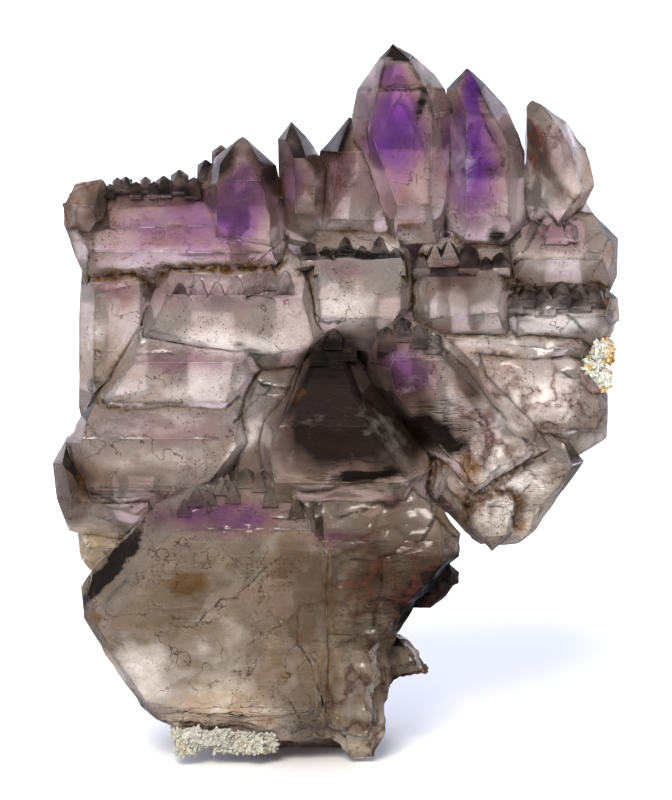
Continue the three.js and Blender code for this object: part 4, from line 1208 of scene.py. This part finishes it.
class StudioLook(bpy.types.PropertyGroup):
    """Floor, lights and camera."""

    floor_radius: length("Floor Radius", "Radius of the paper floor", 4.0)
    camera_distance: length("Camera Distance", "Distance from the camera to its aim", 0.6)
    aim_height: length("Aim Height", "Height that the camera looks at", 0.04928)
    lens: FloatProperty(name="Lens", description="Focal length in mm", default=192.857, min=1)
    softness: amount("Softness", "Gamma of the picture: under one gives more contrast", 0.82)
    exposure: amount("Exposure", "Brightening of the picture, in stops", 0.32)
    main_light: amount("Main Light", "Strength of the broad sun in front on the left", 2.5)
    fill_light: amount("Skylight", "Strength of the shadowless skylight above", 1.15)
    back_air: amount("Back Air", "Strength of the white surroundings behind", 2.0)
    front_air: amount("Front Air", "Strength of the dimmer surroundings in front", 0.22)
    main_colour: colour("Main Colour", "Colour of the main light", "#fff9f0")
    fill_colour: colour("Fill Colour", "Colour of the skylight", "#f2f4ff")
    air_colour: colour("Air Colour", "Colour of the surroundings", "#eaeeff")
    paper: colour("Paper", "Colour of the floor", "#fdfdfd")


class AMETHYST_OT_crystals(bpy.types.Operator):
    """Dresses the crystal cluster"""

    bl_idname = "amethyst.crystals"
    bl_label = "Dress the Crystals"

    def execute(self, context):
        grow_crystals(context.scene.amethyst_crystals)
        return {"FINISHED"}


class AMETHYST_OT_druse(bpy.types.Operator):
    """Grows the grains on both crusts of white druse"""

    bl_idname = "amethyst.druse"
    bl_label = "Grow the Druse"

    def execute(self, context):
        look = context.scene.amethyst_druse
        stained = druse_material("iron_stained_quartz_druse", look, look.edge_stain, 0)
        clean = druse_material("white_quartz_druse", look, look.foot_stain, look.foot_grey)
        grow_druse("edge_druse_grains", "edge_druse", look, stained, 3)
        grow_druse("foot_druse_grains", "foot_druse", look, clean, 8)
        return {"FINISHED"}


class AMETHYST_OT_studio(bpy.types.Operator):
    """Sets the floor, the lights and the camera"""

    bl_idname = "amethyst.studio"
    bl_label = "Set the Studio"

    def execute(self, context):
        set_studio(context.scene.amethyst_studio)
        return {"FINISHED"}


class AMETHYST_PT_panel(bpy.types.Panel):
    """Lists the steps and what can be changed"""

    bl_idname = "AMETHYST_PT_panel"
    bl_label = "Amethyst Cluster"
    bl_space_type = "VIEW_3D"
    bl_region_type = "UI"
    bl_category = "Amethyst"

    def draw(self, context):
        for operator, name in STEPS:
            look = getattr(context.scene, name)
            self.layout.operator(operator)
            column = self.layout.column()
            for key in look.__annotations__:
                column.prop(look, key)


STEPS = (
    ("amethyst.crystals", "amethyst_crystals"),
    ("amethyst.druse", "amethyst_druse"),
    ("amethyst.studio", "amethyst_studio"),
)
LOOKS = {"amethyst_crystals": CrystalLook, "amethyst_druse": DruseLook, "amethyst_studio": StudioLook}
CLASSES = (*LOOKS.values(), AMETHYST_OT_crystals, AMETHYST_OT_druse, AMETHYST_OT_studio, AMETHYST_PT_panel)


def register():
    for cls in CLASSES:
        bpy.utils.register_class(cls)
    for name, look in LOOKS.items():
        setattr(bpy.types.Scene, name, PointerProperty(type=look))


def unregister():
    for name in LOOKS:
        delattr(bpy.types.Scene, name)
    for cls in reversed(CLASSES):
        bpy.utils.unregister_class(cls)


def main():
    register()
    bpy.ops.amethyst.crystals()
    bpy.ops.amethyst.druse()
    bpy.ops.amethyst.studio()


if __name__ == "__main__":
    main()
